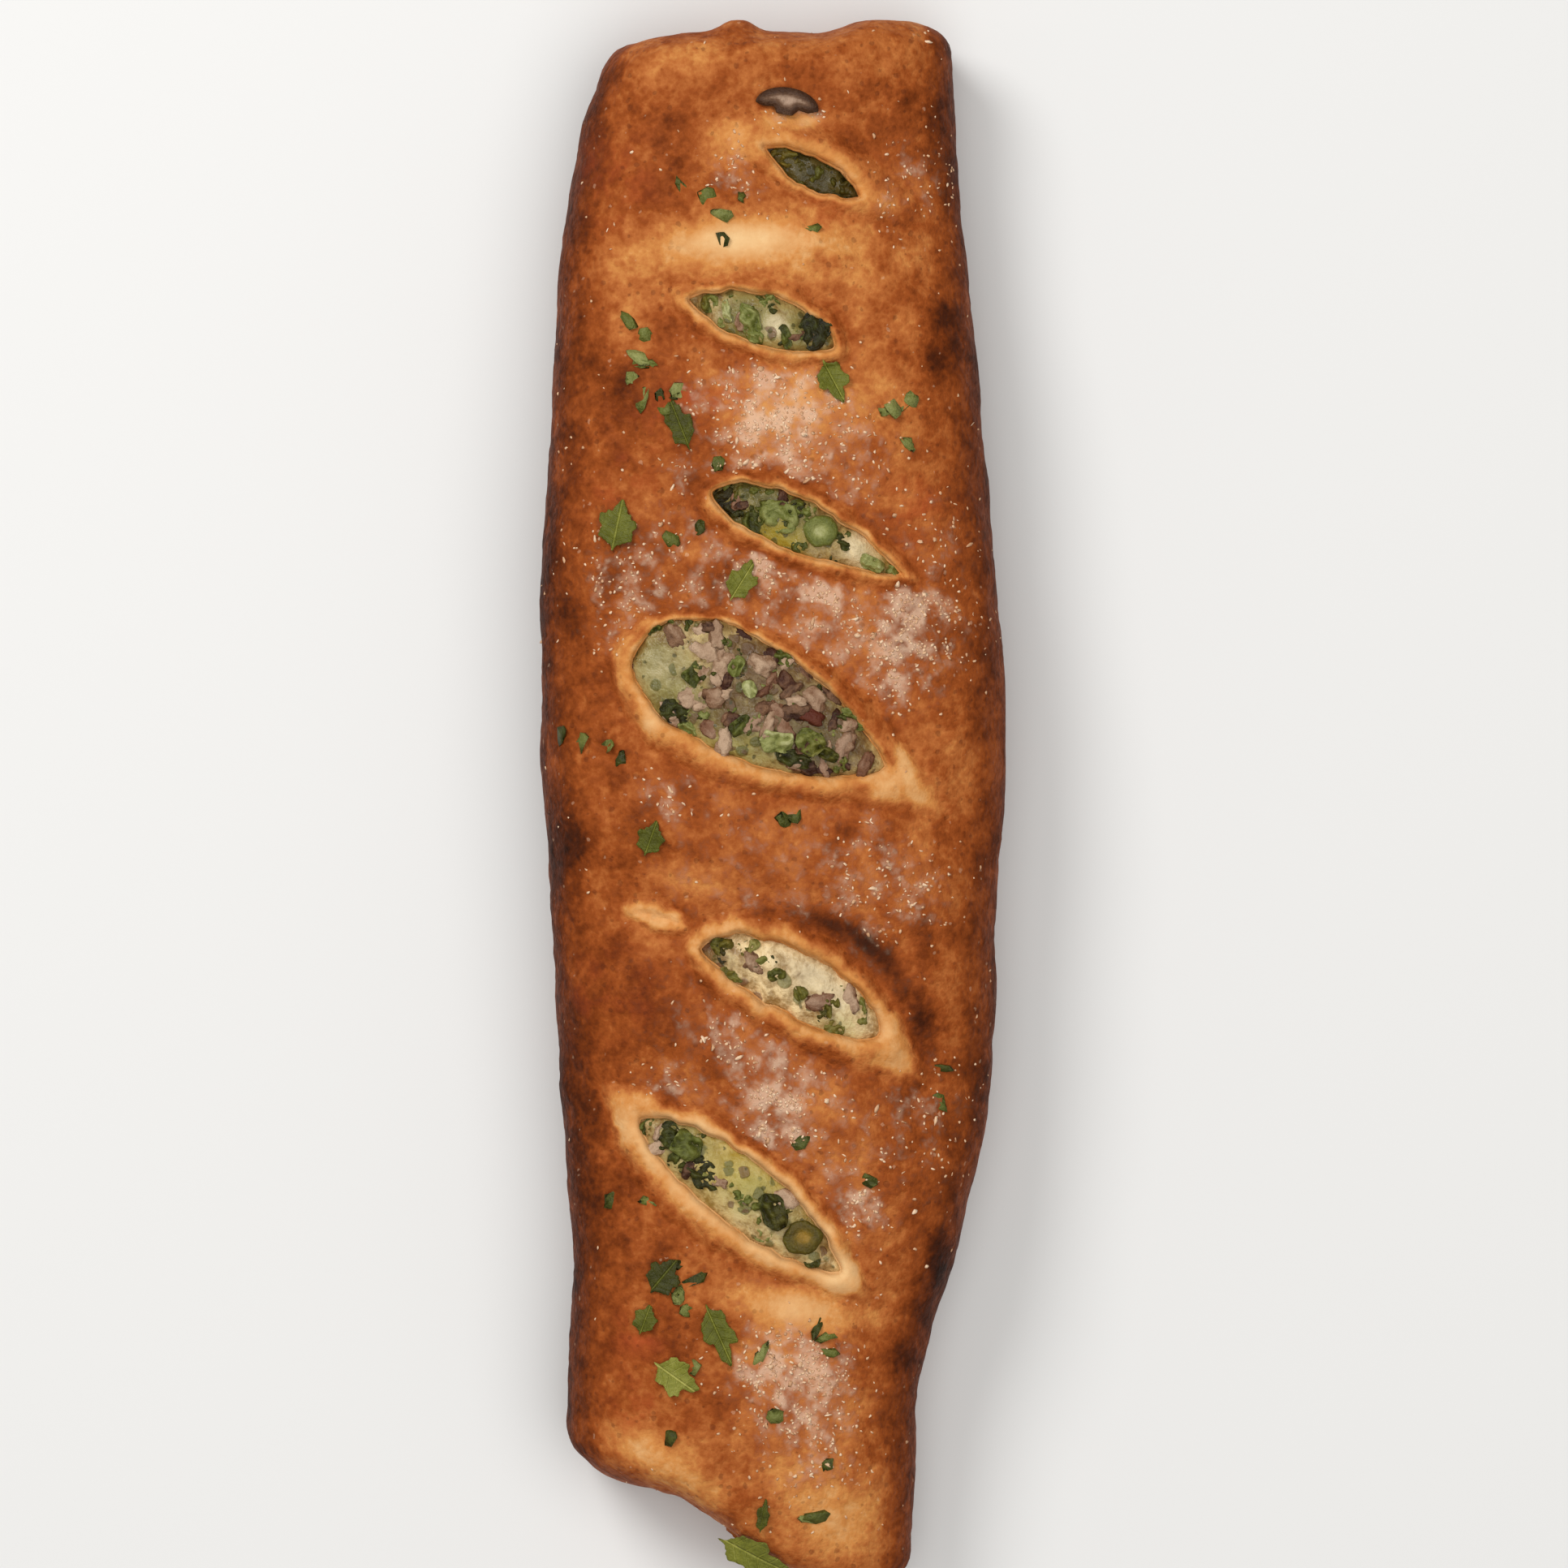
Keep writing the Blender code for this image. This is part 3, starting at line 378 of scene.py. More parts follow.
def lensOutline(lens, count=160):
    leftX, leftY, rightX, rightY = lens[:4]
    left, right = np.array((leftX, leftY)), np.array((rightX, rightY))
    halfLong = np.linalg.norm(right - left) / 2
    along = (right - left) / (2 * halfLong)
    across = np.array((-along[1], along[0]))
    t = -np.cos(np.linspace(0, math.pi, count // 2 + 1))
    edges = []
    for side, (bulge, shapeLeft, shapeRight) in ((1, lens[4:7]), (-1, lens[7:10])):
        widest = (shapeLeft - shapeRight) / (shapeLeft + shapeRight)
        peak = (1 + widest) ** shapeLeft * (1 - widest) ** shapeRight
        width = bulge * np.abs(1 + t) ** shapeLeft * np.abs(1 - t) ** shapeRight / peak
        edges.append((left + right) / 2 + np.outer(t * halfLong, along) + np.outer(side * width, across))
    return np.vstack((edges[0], edges[1][::-1][1:-1]))


def evenOutline(outline, step):
    closed = np.vstack((outline, outline[:1]))
    travelled = np.concatenate(([0.0], np.cumsum(np.linalg.norm(np.diff(closed, axis=0), axis=1))))
    count = max(8, int(travelled[-1] / step))
    wanted = np.linspace(0, travelled[-1], count, endpoint=False)
    return np.column_stack([np.interp(wanted, travelled, closed[:, i]) for i in (0, 1)])


def offsetOutline(outline, distance):
    ahead, behind = np.roll(outline, -1, axis=0), np.roll(outline, 1, axis=0)
    run = ahead - behind
    run /= np.maximum(1e-9, np.linalg.norm(run, axis=1, keepdims=True))
    return outline + distance * np.column_stack((-run[:, 1], run[:, 0]))  # outlines run clockwise


def edgeDistance(outline, x, y):
    # distance to a closed outline, negative inside it
    best = np.full(x.shape, 1e9)
    inside = np.zeros(x.shape, bool)
    for (ax, ay), (bx, by) in zip(outline, np.roll(outline, -1, axis=0)):
        runX, runY = bx - ax, by - ay
        t = np.clip(((x - ax) * runX + (y - ay) * runY) / max(1e-12, runX**2 + runY**2), 0.0, 1.0)
        best = np.minimum(best, (x - ax - t * runX) ** 2 + (y - ay - t * runY) ** 2)
        if ay != by:
            inside ^= ((ay > y) != (by > y)) & (x < ax + (y - ay) * runX / runY)
    return np.where(inside, -1.0, 1.0) * np.sqrt(best)


def fractals(spots, fade, gap, octaves):
    return np.array([noise.fractal(spot, fade, gap, octaves) for spot in spots])


def unevenEdge(outline, amount, seed):
    # a cut edge wanders a little, least at its two tips
    wander = fractals([(x / 5, y / 5, seed) for x, y in outline], 0.9, 2.2, 3)
    tips = outline[[0, len(outline) // 2]]
    fromTip = np.minimum(*(np.linalg.norm(outline - tip, axis=1) for tip in tips))
    return offsetOutline(outline, (amount * wander * smoothstep(0.5, 6.0, fromTip))[:, None])


for index, slash in enumerate(slashes.values()):
    slash["openingEdge"] = unevenEdge(lensOutline(slash["opening"]), 0.75, 2.0 + index)
    slash["rimEdge"] = unevenEdge(lensOutline(slash["rim"], 120), 1.3, 20.0 + index)


slashReach = 26.0  # farther from a rim than this, a slash changes nothing


def slashFields(x, y):
    # for each point of the plan: how far outside the nearest rim it is, and how it lies in the
    # nearest slash: from its opening, its share of the way to the rim, and which slash it is
    outside = np.full(x.shape, 99.0)
    fromOpening = np.full(x.shape, 99.0)
    share = np.full(x.shape, 9.0)
    which = np.full(x.shape, -1)
    for index, slash in enumerate(slashes.values()):
        low, high = slash["rimEdge"].min(0) - slashReach, slash["rimEdge"].max(0) + slashReach
        near = np.flatnonzero((x > low[0]) & (x < high[0]) & (y > low[1]) & (y < high[1]))
        rim = edgeDistance(slash["rimEdge"], x[near], y[near])
        better = rim < outside[near]
        near, rim = near[better], rim[better]
        outside[near] = rim
        opening = edgeDistance(slash["openingEdge"], x[near], y[near])
        fromOpening[near] = opening
        width = np.maximum(0.3, opening - rim)
        share[near] = opening / width
        which[near] = index
    return outside, fromOpening, share, which


def slashValues(key, which, otherwise=0.0):
    # a value of every point's own slash
    return np.array([slash[key] for slash in slashes.values()] + [otherwise])[which]


def flatPoints(x, y):
    return np.column_stack((x, y, np.zeros(len(x))))


def fieldNoise(points, size, octaves, offset):
    # smooth noise of about -1 to 1 whose features are size millimetres across
    return fractals((points / size + offset).tolist(), 0.9, 2.1, octaves)


def lipHeight(x, y):
    # how far the crust's top stands over or under its plain skin, next to the slashes
    outside, fromOpening, share, which = slashFields(x, y)
    away = np.maximum(0.0, outside) / lipShape["pillowReach"]
    height = lipShape["pillowRise"] * (1.0 - 2.0 * np.exp(-away * away))
    lips = slashValues("lip", which)
    width = np.clip(fromOpening - outside, 0.3, 40.0)
    strength = np.minimum(lips, lipShape["perWidth"] * width)
    strength *= np.exp(-((np.maximum(0.0, fromOpening - 3.0) / lipShape["tailFade"]) ** 2))
    strength *= 1.0 + lipShape["uneven"] * fieldNoise(flatPoints(x, y), 5.0, 2, 4.4)
    bend = math.log(0.5) / math.log(lipShape["peak"])
    bump = np.sin(math.pi * np.clip(share, 0.0, 1.0) ** bend)
    height += strength * bump
    crease = np.clip(outside / lipShape["creaseReach"], 0.0, 1.0)
    height -= lipShape["crease"] * np.sin(math.pi * np.sqrt(crease)) * (crease < 1.0)
    radius = lipShape["shoulder"]
    deep = slashValues("drop", which) > 0
    roll = np.clip(1.0 - fromOpening / radius, 0.0, 1.0)
    drop = radius * (1.0 - np.sqrt(1.0 - roll * roll))
    height -= np.where(deep, drop, lipShape["shallow"] * drop)
    wells = np.interp(-fromOpening, lipShape["wallInset"], lipShape["wallDepth"])
    return np.where(deep & (fromOpening < 0), np.minimum(height, wells), height)


# Crust
crust = {
    "topStep": 0.86,
    "sideStep": 1.25,
    "footStep": 2.8,
    "capStep": 1.5,
    "topEdge": 0.93,  # across the loaf, where the finer points stop
    "edgeSteps": [0.0, 0.12, 0.35, 0.75, 1.35],  # loops outside an opening
    "wallSteps": [0.15, 0.35, 0.60],  # and down its wall
    "edgeSpacing": 0.62,
    # unevenness of the skin: height, size, octaves, offset
    "relief": [(0.75, 30.0, 2, 0.0), (0.34, 9.0, 2, 3.1), (0.17, 3.0, 3, 7.7)],
    "blisters": 420,
    "blisterSizes": (1.3, 4.2),
    "blisterHeight": 0.15,  # share of a blister's size
    # x, y, z, reach along each, how far it swells
    "nubs": [
        (-7.2, 158, 22, 4, 7, 5, 2.8), (-36.5, 138, 17, 8, 7, 7, 0.7), (-46, 12, 15, 8, 8, 7, 0.6),
        (44, -37.5, 17, 8, 6, 7, 0.8),
    ],
    "seed": 7,
}


def hexPoints(lowU, highU, lowV, highV, step, draw):
    rows = max(1, round((highV - lowV) / (step * 0.866)))
    columns = max(1, round((highU - lowU) / step))
    spots = []
    for j in range(rows + 1):
        v = lowV + (highV - lowV) * j / rows
        u = lowU + (highU - lowU) * (np.arange(columns) + 0.25 + 0.5 * (j % 2)) / columns
        spots.append(np.column_stack((u, np.full(columns, v))))
    grid = np.vstack(spots)
    return grid + draw.uniform(-0.16 * step, 0.16 * step, grid.shape)


def farFrom(points, taken, reach):
    # keeps the points that have none of the taken ones within reach
    tree = KDTree(len(taken))
    for i, (u, v) in enumerate(taken):
        tree.insert((u, v, 0.0), i)
    tree.balance()
    return np.array([p for p in points if tree.find((p[0], p[1], 0.0))[2] > reach])


def slashPoints():
    loops = []
    for slash in slashes.values():
        if not slash["drop"]:
            continue
        edge = evenOutline(slash["openingEdge"], crust["edgeSpacing"])
        for distance in crust["edgeSteps"] + [-inset for inset in crust["wallSteps"]]:
            loop = offsetOutline(edge, distance)
            true = edgeDistance(slash["openingEdge"], loop[:, 0], loop[:, 1])
            loops.append(loop[np.abs(true - distance) < 0.06 + 0.1 * abs(distance)])
        low, high = edge.min(0), edge.max(0)
        draw = np.random.default_rng(crust["seed"])
        floor = hexPoints(low[0], high[0], low[1], high[1], 2.4, draw)
        deep = edgeDistance(slash["openingEdge"], floor[:, 0], floor[:, 1])
        loops.append(floor[deep < -1.6])
    return np.vstack(loops)


def crustDomain():
    # every point of the crust as (u, v), and how many of them lie on each end's last ring
    draw = np.random.default_rng(crust["seed"])
    topU = np.interp(crust["topEdge"], girthAcross[:topCount], girthArc[:topCount])
    footU = girthArc[np.argmax(girthHeight <= 0.0)]
    loops = slashPoints()
    loopU, loopV = domainOf(loops[:, 0], loops[:, 1])
    loops = np.column_stack((loopU, loopV))
    top = farFrom(hexPoints(-topU, topU, 0.0, middleLength, crust["topStep"], draw), loops, 0.5)
    x, y, _, _ = bodyPoint(top[:, 0], top[:, 1])
    _, fromOpening, _, which = slashFields(x, y)
    top = top[~((slashValues("drop", which) > 0) & (fromOpening < 0.35))]
    parts = [loops, top]
    for side in (-1, 1):
        low, high = sorted((side * (topU + 0.5), side * footU))
        parts.append(hexPoints(low, high, 0.0, middleLength, crust["sideStep"], draw))
        low, high = sorted((side * (footU + 1.5), side * (halfGirth - 1.5)))
        parts.append(hexPoints(low, high, 0.0, middleLength, crust["footStep"], draw))
    seam = np.linspace(0.0, middleLength, round(middleLength / crust["footStep"]) + 1)[1:-1]
    for u in (-halfGirth, halfGirth):
        parts.append(np.column_stack((np.full(len(seam), u), seam)))
    reach = 0.0
    while np.interp(reach, capReach, capScale) > 0.07:
        reach += crust["capStep"] * 0.9 / np.interp(reach, capReach, capScale)
        count = max(9, round(2 * halfGirth * np.interp(reach, capReach, capScale) / crust["capStep"]))
        ring = np.linspace(-halfGirth, halfGirth, count + 1)
        for v in (-reach, middleLength + reach):
            parts.append(np.column_stack((ring, np.full(count + 1, v))))
    return np.vstack(parts)


def closeLoaf(domain, faces):
    # merges the seam under the loaf and closes both poles with a fan
    lowV, highV = domain[:, 1].min(), domain[:, 1].max()
    left = {round(v, 5): i for i, (u, v) in enumerate(domain) if u < -halfGirth + 1e-4}
    swap = {i: left[round(v, 5)] for i, (u, v) in enumerate(domain) if u > halfGirth - 1e-4}
    faces = [tuple(swap.get(i, i) for i in face) for face in faces]
    poles = []
    for v, flip in ((lowV, False), (highV, True)):
        ring = np.flatnonzero(np.abs(domain[:, 1] - v) < 1e-6).tolist()
        ring.sort(key=lambda i: domain[i, 0])
        pole = len(domain) + len(poles)
        poles.append((0.0, v))
        for a, b in zip(ring, ring[1:]):
            a, b = swap.get(a, a), swap.get(b, b)
            faces.append((a, b, pole) if flip else (b, a, pole))
    return faces, poles


def pointNormals(points, faces):
    corners = points[np.array(faces)]
    areas = np.cross(corners[:, 1] - corners[:, 0], corners[:, 2] - corners[:, 0])
    normals = np.zeros_like(points)
    for k in range(3):
        np.add.at(normals, np.array(faces)[:, k], areas)
    return normals / np.maximum(1e-12, np.linalg.norm(normals, axis=1, keepdims=True))


def blisterRelief(points):
    # small domes where the dough blistered in the oven, over the top and the upper sides
    draw = np.random.default_rng(crust["seed"] + 1)
    relief = np.zeros(len(points))
    for _ in range(crust["blisters"]):
        y = draw.uniform(-152, 156)
        x = middleLine(y) + draw.uniform(-0.97, 0.97) * halfWidth(y)
        size = draw.uniform(*crust["blisterSizes"])
        stretch = draw.uniform(0.7, 1.4)
        near = np.flatnonzero((np.abs(points[:, 0] - x) < 6) & (np.abs(points[:, 1] - y) < 6))
        away = ((points[near, 0] - x) / size * stretch) ** 2 + ((points[near, 1] - y) / size) ** 2
        relief[near] += crust["blisterHeight"] * size * 0.5 * np.clip(1.0 - away, 0.0, 1.0) ** 2
    return relief


def nubRelief(points):
    # dough that swelled out at the ends and sides
    relief = np.zeros(len(points))
    for x, y, z, reachX, reachY, reachZ, swell in crust["nubs"]:
        away = (points - (x, y, z)) / (reachX, reachY, reachZ)
        relief += swell * np.exp(-(away**2).sum(1))
    return relief


def keepInside(points, margin=0.12, ease=0.45):
    # eases whatever reaches past the solids' box back into it
    low, high = (np.array(corner) / mm - (planShift[0], planShift[1], 0.0) for corner in cadBox)
    for axis in range(3):
        least, most = low[axis] + margin + ease, high[axis] - margin - ease
        over = np.maximum(0.0, points[:, axis] - most)
        points[:, axis] -= over - ease * (1.0 - np.exp(-over / ease))
        if axis < 2:
            over = np.maximum(0.0, least - points[:, axis])
            points[:, axis] += over - ease * (1.0 - np.exp(-over / ease))


def makeCrust():
    result = delaunay_2d_cdt([Vector(p) for p in crustDomain()], [], [], 0, 1e-5, False)
    domain = np.array([tuple(p) for p in result[0]])
    faces = [tuple(reversed(face)) for face in result[2]]
    faces, poles = closeLoaf(domain, faces)
    domain = np.vstack((domain, poles))
    x, y, z, up = bodyPoint(domain[:, 0], domain[:, 1])
    points = np.column_stack((x, y, z))
    for pole, end in ((-2, farEnd(0.0)), (-1, nearEnd(0.0))):
        points[pole] = (middleLine(end), end, loaf["waist"] * crownHeight(end))
    normals = pointNormals(points, faces)
    top = up > 0
    lift = np.zeros(len(points))
    height = lipHeight(x[top], y[top])
    lift[top] = height * np.where(height > -2.5, np.clip(up[top] * 2.2, 0, 1), 1.0)
    outside, fromOpening, share, _ = slashFields(x, y)
    calm = np.where(top, smoothstep(0.35, 1.15, np.where(outside > 0, 9.0, share)), 1.0)
    relief = sum(amount * fieldNoise(points, *rest) for amount, *rest in crust["relief"])
    relief += blisterRelief(points) * top + nubRelief(points)
    relief = relief * smoothstep(0.3, 7.0, z) * (0.3 + 0.7 * calm)
    points += normals * np.where(top & (fromOpening < 0.3), 0.0, relief)[:, None]
    points[:, 2] += lift
    points[:, 2] = np.maximum(points[:, 2], 0.0)
    keepInside(points)
    print("crust:", len(points), "points", len(faces), "faces")
    return makeMesh("bakedCrust", points, faces)


def ringSolid(rings):
    # points and faces of a closed solid from rings of points, with a fan over each end
    count = len(rings[0])
    points = np.vstack(rings + [rings[0].mean(0), rings[-1].mean(0)])
    faces = []
    for k in range(len(rings) - 1):
        for i in range(count):
            j = (i + 1) % count
            a, b, c, d = k * count + i, k * count + j, (k + 1) * count + j, (k + 1) * count + i
            faces += [(a, b, c), (a, c, d)]
    first, last, base = len(points) - 2, len(points) - 1, (len(rings) - 1) * count
    for i in range(count):
        j = (i + 1) % count
        faces += [(j, i, first), (base + i, base + j, last)]
    return points, faces


def bodySolid(name, inset, endInset, around=44, along=70, capRings=8):
    # a plain closed body inside the crust, for its hollow and for the filling's core
    reaches = np.interp(np.linspace(1.0, 0.08, capRings + 1)[1:], capScale[::-1], capReach[::-1])
    spots = np.concatenate((-reaches[::-1], np.linspace(0, middleLength, along), middleLength + reaches))
    u = np.linspace(-halfGirth, halfGirth, around, endpoint=False)
    rings = [np.column_stack(bodyPoint(u, np.full(around, v), inset, endInset)[:3]) for v in spots]
    mesh = makeMesh(name, *ringSolid(rings))
    turnOutward(mesh)
    return mesh


def turnOutward(mesh):
    bm = bmesh.new()
    bm.from_mesh(mesh)
    bmesh.ops.recalc_face_normals(bm, faces=bm.faces)
    bm.to_mesh(mesh)
    bm.free()


def plainMesh(piece):
    # the mesh that a piece's modifiers make, as its own
    bpy.context.view_layer.update()
    graph = bpy.context.evaluated_depsgraph_get()
    mesh = bpy.data.meshes.new_from_object(piece.evaluated_get(graph))
    piece.modifiers.clear()
    piece.data = mesh


def boolean(piece, other, operation):
    # applies one Boolean and leaves a plain mesh
    modifier = piece.modifiers.new(operation.lower(), "BOOLEAN")
    modifier.operation = operation
    modifier.solver = "MANIFOLD"
    modifier.object = other
    plainMesh(piece)
    bpy.data.objects.remove(other)
    piece.data.shade_smooth()


crustPiece = makeObject("bakedCrust", makeCrust())
turnOutward(crustPiece.data)
boolean(crustPiece, makeObject("hollow", bodySolid("hollow", loaf["wall"], loaf["endWall"])), "DIFFERENCE")
print("crust hollowed:", len(crustPiece.data.polygons), "faces")

# How the crust is baked, with painted shadow along the fifth slash's upper lip: x, y, reach across, reach
# along, turn in degrees, change of the browning
bakeAndShadowSpots = [
    (-8.1, 115.6, 15, 3.8, 4, -0.3), (-7.2, 112.5, 28, 8, 4, -0.18), (-25.5, 110, 8, 7, 10, -0.03),
    (-32, 102.5, 3.6, 8, 0, -0.08), (16, 106, 9, 6, -20, -0.06), (18.5, 95, 5.5, 10, 0, -0.05),
    (22, 85.5, 5, 5, 0, -0.07), (1.5, 81, 13, 9, 0, -0.2), (-14, 124, 12, 5, 0, -0.06),
    (-7, 136.5, 7, 4, 20, -0.22), (6.5, 139.4, 6.5, 2.4, 0, -0.2), (0.6, 139.6, 3.2, 2.2, 0, -0.17),
    (6.9, 139.8, 2.4, 2, 0, -0.14), (-8.5, 137.5, 5, 3.4, -40, -0.09), (-12, 46.5, 17, 6, 0, 0.05),
    (27, 36, 9, 9, 0, 0.05), (-31.5, -60, 4.6, 2.8, -45, -0.16), (22.5, 127, 5, 5, 0, -0.12),
    (4.4, -102, 12, 4.8, -8, -0.34), (-3.2, -110, 9, 4, 0, -0.12), (-30, -129, 6, 3.6, -20, -0.17),
    (-23.5, -133.5, 9, 4.4, -30, -0.2), (-14, -139, 9, 4.2, -35, -0.15), (-18, -14.4, 7.5, 3.8, -10, -0.18),
    (-24, -24, 9, 5, -10, -0.1), (13.5, -146, 9, 9, 0, -0.23), (2, -138, 10, 6, -30, -0.1),
    (-18.9, 152, 15, 4.5, 0, -0.12), (-28.5, 33.8, 3, 4.5, 30, -0.16), (31, -3, 5, 4, 0, -0.1),
    (7, -1, 12, 4, -10, -0.05), (33.5, 100.3, 3, 3.2, 0, 0.26), (33.5, 90.3, 3, 4.2, 10, 0.26),
    # (10.5, -23.8) to (30.5, -45): darker crust along the fifth slash's upper lip, partly browner crust and
    # partly painted shadow
    (27, 106, 3, 3, 0, 0.1), (15.2, -5.4, 3, 2.3, 0, 0.24), (10.5, -23.8, 8, 2.2, -18, 0.2),
    (19.7, -28.6, 7, 2.6, -38, 0.26), (26.2, -37, 6, 2.6, -58, 0.24), (30.5, -45, 2.8, 6.5, 0, 0.2),
    (31, -28, 3, 5, 0, 0.12), (23, -14, 9, 6, 0, 0.05), (35, 60, 6, 12, 0, 0.04), (-24, 45, 14, 6, 0, 0.04),
    (34.3, -94, 3, 6, 0, 0.24), (29.5, -104, 3, 4, 0, 0.14), (25.5, -112, 3, 5, 0, 0.14),
    (24, -128, 3, 8, 0, 0.08), (-42, -7.7, 3, 5.5, 0, 0.18), (-31, -31, 6, 6, 0, 0.08),
    (-24, -40, 7, 5, 0, 0.1), (-36.5, -76, 7, 30, 0, 0.08), (27, 140, 9, 12, 0, 0.1),
    (-30, 128, 8, 6, 0, 0.06), (-24, -2, 5, 4, 0, 0.06), (-10, -52, 9, 5, 0, 0.04),
    (30, -72, 8, 14, 0, 0.07), (-27, 84, 6, 7, 0, 0.06), (-32.2, 87, 4.5, 5.5, 0, 0.12),
]
# How the dough of the lips differs from the rest of them: x, y, reach, change of the browning
lipSpots = [(14.4, -95.0, 5.0, -0.13), (-30.5, 33.0, 6.0, 0.08), (-26.3, 15.0, 4.0, -0.18)]
baking = {
    "plain": 0.59,
    # the extra on the steep sides is partly browner crust, partly painted shade
    "more": {"left": 0.05, "sides": 0.19, "rim": 0.03},
    "wander": 0.05,  # how much the browning of a lip varies
    "palest": 0.02,
}
# A faint band of cheese dust along the loaf's middle
hazeBand = {"amount": 0.22, "halfWidth": 26.0, "middle": -5.0, "halfLength": 95.0}
# Where the crust is redder, and where grated cheese and small herb flakes fell: x, y, reach, amount
redSpots = [
    (-27, -107, 5, 0.8), (-30.5, 66, 6, 0.8), (-14, 84, 6, 0.7), (-24, 78, 6, 0.5), (-34, -40, 9, 0.4),
    (8, 120, 5, 0.4), (-28, -122, 5, 0.6), (30, 60, 8, 0.4), (-33, 128, 8, 0.5),
]
cheeseSpots = [
    (1.5, 80, 11, 1), (-1.5, 74.5, 6, 0.8), (27.5, 39.5, 7, 1), (25, 27, 6, 0.8), (33, 34, 8, 0.3),
    (9.5, 42, 6.5, 0.7), (-3, 50, 6, 0.55), (20, -14.5, 9, 0.38), (29, -18, 6, 0.3), (-7, -42, 8, 0.5),
    (0.5, -57, 7, 0.7), (2, -65, 6, 1), (16, -81, 5, 0.95), (-22, -57, 4, 0.7), (6, -118, 9, 1),
    (-2, -114, 8, 0.5), (24, -70, 14, 0.12), (-22, 2, 4, 0.5), (22, 7, 4, 0.8), (-6, 130.5, 6, 0.7),
    (21.9, 124.4, 4, 0.5), (-18, 68.6, 4.5, 0.18), (-17, 83.7, 4.5, 0.3), (27, 127, 8, 0.35),
    (-32, 47, 8, 0.35), (-18, 46, 12, 0.25), (-28, 34, 8, 0.25), (5, 30, 14, 0.25), (14, 70, 10, 0.3),
    (3.5, 140.6, 3.5, 0.9), (6.9, 139.8, 2.4, 1), (35, 55, 8, 0.18), (8, -132, 10, 0.3), (32, -60, 8, 0.15),
]
flakeSpots = [
    (-13.9, 122, 3, 1), (-7.6, 122.2, 3, 1), (8, 115, 2.5, 1), (-11.4, 115.2, 2.5, 0.9),
    (12.7, 101, 3, 0.9), (-25.5, 91, 4, 0.9), (-30.5, 101, 4, 0.5), (-19.7, 80.3, 4, 0.8),
    (-12.2, 72, 4, 0.9), (-20.2, 58.8, 4, 0.9), (-29.7, -79, 3, 0.9), (3.6, 0, 3, 0.9),
    (11.9, -112.4, 4, 1), (6, -67.5, 3.5, 0.9), (21, -74.2, 4, 0.7), (-22.2, -129, 4, 0.8),
    (8.6, -136.5, 5, 0.5), (31.8, -56, 3, 0.8), (-28, 87, 4, 0.6), (-35, 12, 6, 0.4), (-20, -100, 9, 0.5),
    (33, 80, 8, 0.2), (0, -118, 8, 0.3),
]


def roundSpots(spots, x, y):
    # soft round spots added up: x, y, reach, amount
    total = np.zeros(len(x))
    for spotX, spotY, reach, amount in spots:
        total += amount * np.exp(-((x - spotX) ** 2 + (y - spotY) ** 2) / reach**2)
    return total


def spread(spots, x, y):
    return np.clip(roundSpots(spots, x, y), 0.0, 1.0)


def axisFields(x, y, which):
    # for each point, against the line between its slash's tips: 1 over it and 0 under it, soft near
    # it, and how far past the nearer tip the point lies
    over, past = np.ones(len(x)), np.full(len(x), -99.0)
    for index, slash in enumerate(slashes.values()):
        leftX, leftY, rightX, rightY = slash["opening"][:4]
        mine = which == index
        runX, runY = rightX - leftX, rightY - leftY
        length = math.hypot(runX, runY)
        side = runX * (y[mine] - leftY) - runY * (x[mine] - leftX)
        over[mine] = smoothstep(-2.0, 2.0, side / length)
        along = (x[mine] - (leftX + rightX) / 2) * runX + (y[mine] - (leftY + rightY) / 2) * runY
        past[mine] = np.abs(along / length) - length / 2
    return over, past


def browning(x, y, z):
    # 0 is white dough, 0.3 golden, 0.6 brown and 1 burnt
    outside, fromOpening, share, which = slashFields(x, y)
    across = np.abs(x - middleLine(y)) / halfWidth(y)
    upper = 0.3 + 0.7 * smoothstep(0.3, 0.7, z / crownHeight(y))
    more = baking["more"]
    bake = np.full(len(x), baking["plain"])
    bake += more["left"] * smoothstep(0.1, -0.6, (x - middleLine(y)) / halfWidth(y))
    # steep sides darker: browner crust with painted shade
    bake += more["sides"] * smoothstep(0.78, 0.99, across)
    for spotX, spotY, reachX, reachY, turn, change in bakeAndShadowSpots:
        c, s = math.cos(math.radians(turn)), math.sin(math.radians(turn))
        along = ((x - spotX) * c + (y - spotY) * s) / reachX
        beside = ((y - spotY) * c - (x - spotX) * s) / reachY
        bake += change * np.exp(-(along**2) - beside**2) * upper
    bake += more["rim"] * np.exp(-((np.maximum(0.0, outside) / 1.5) ** 2)) * (outside < 6)
    wander = fieldNoise(flatPoints(x, y), 4.5, 3, 8.8)
    pale, tail, rim = (slashValues(key, which) for key in ("pale", "tail", "rimBake"))
    above, below = slashValues("paleReach", which, (1.0, 1.0)).T
    over, past = axisFields(x, y, which)
    reach = below + (above - below) * over
    lip = pale + 0.03 + (rim - pale) * smoothstep(0.3 * reach, 1.6 * reach, fromOpening + 0.5 * wander)
    inTail = smoothstep(-4.0, 2.0, past) * smoothstep(0.8, 3.0, fromOpening)
    lip += (tail - lip) * inTail * (1.0 - 0.4 * smoothstep(0.75, 1.0, share))
    lip += baking["wander"] * wander + roundSpots(lipSpots, x, y)
    soft = 1.0 + 1.6 * smoothstep(3.0, 7.0, fromOpening)
    inLip = smoothstep(0.7 * soft, -1.1 * soft, outside + 0.9 * wander) * (z > 0.55 * crownHeight(y))
    inLip *= 1.0 - slashValues("faint", which) * smoothstep(2.0, 5.0, fromOpening)
    return np.clip(bake * (1.0 - inLip) + lip * inLip, baking["palest"], 1.0)


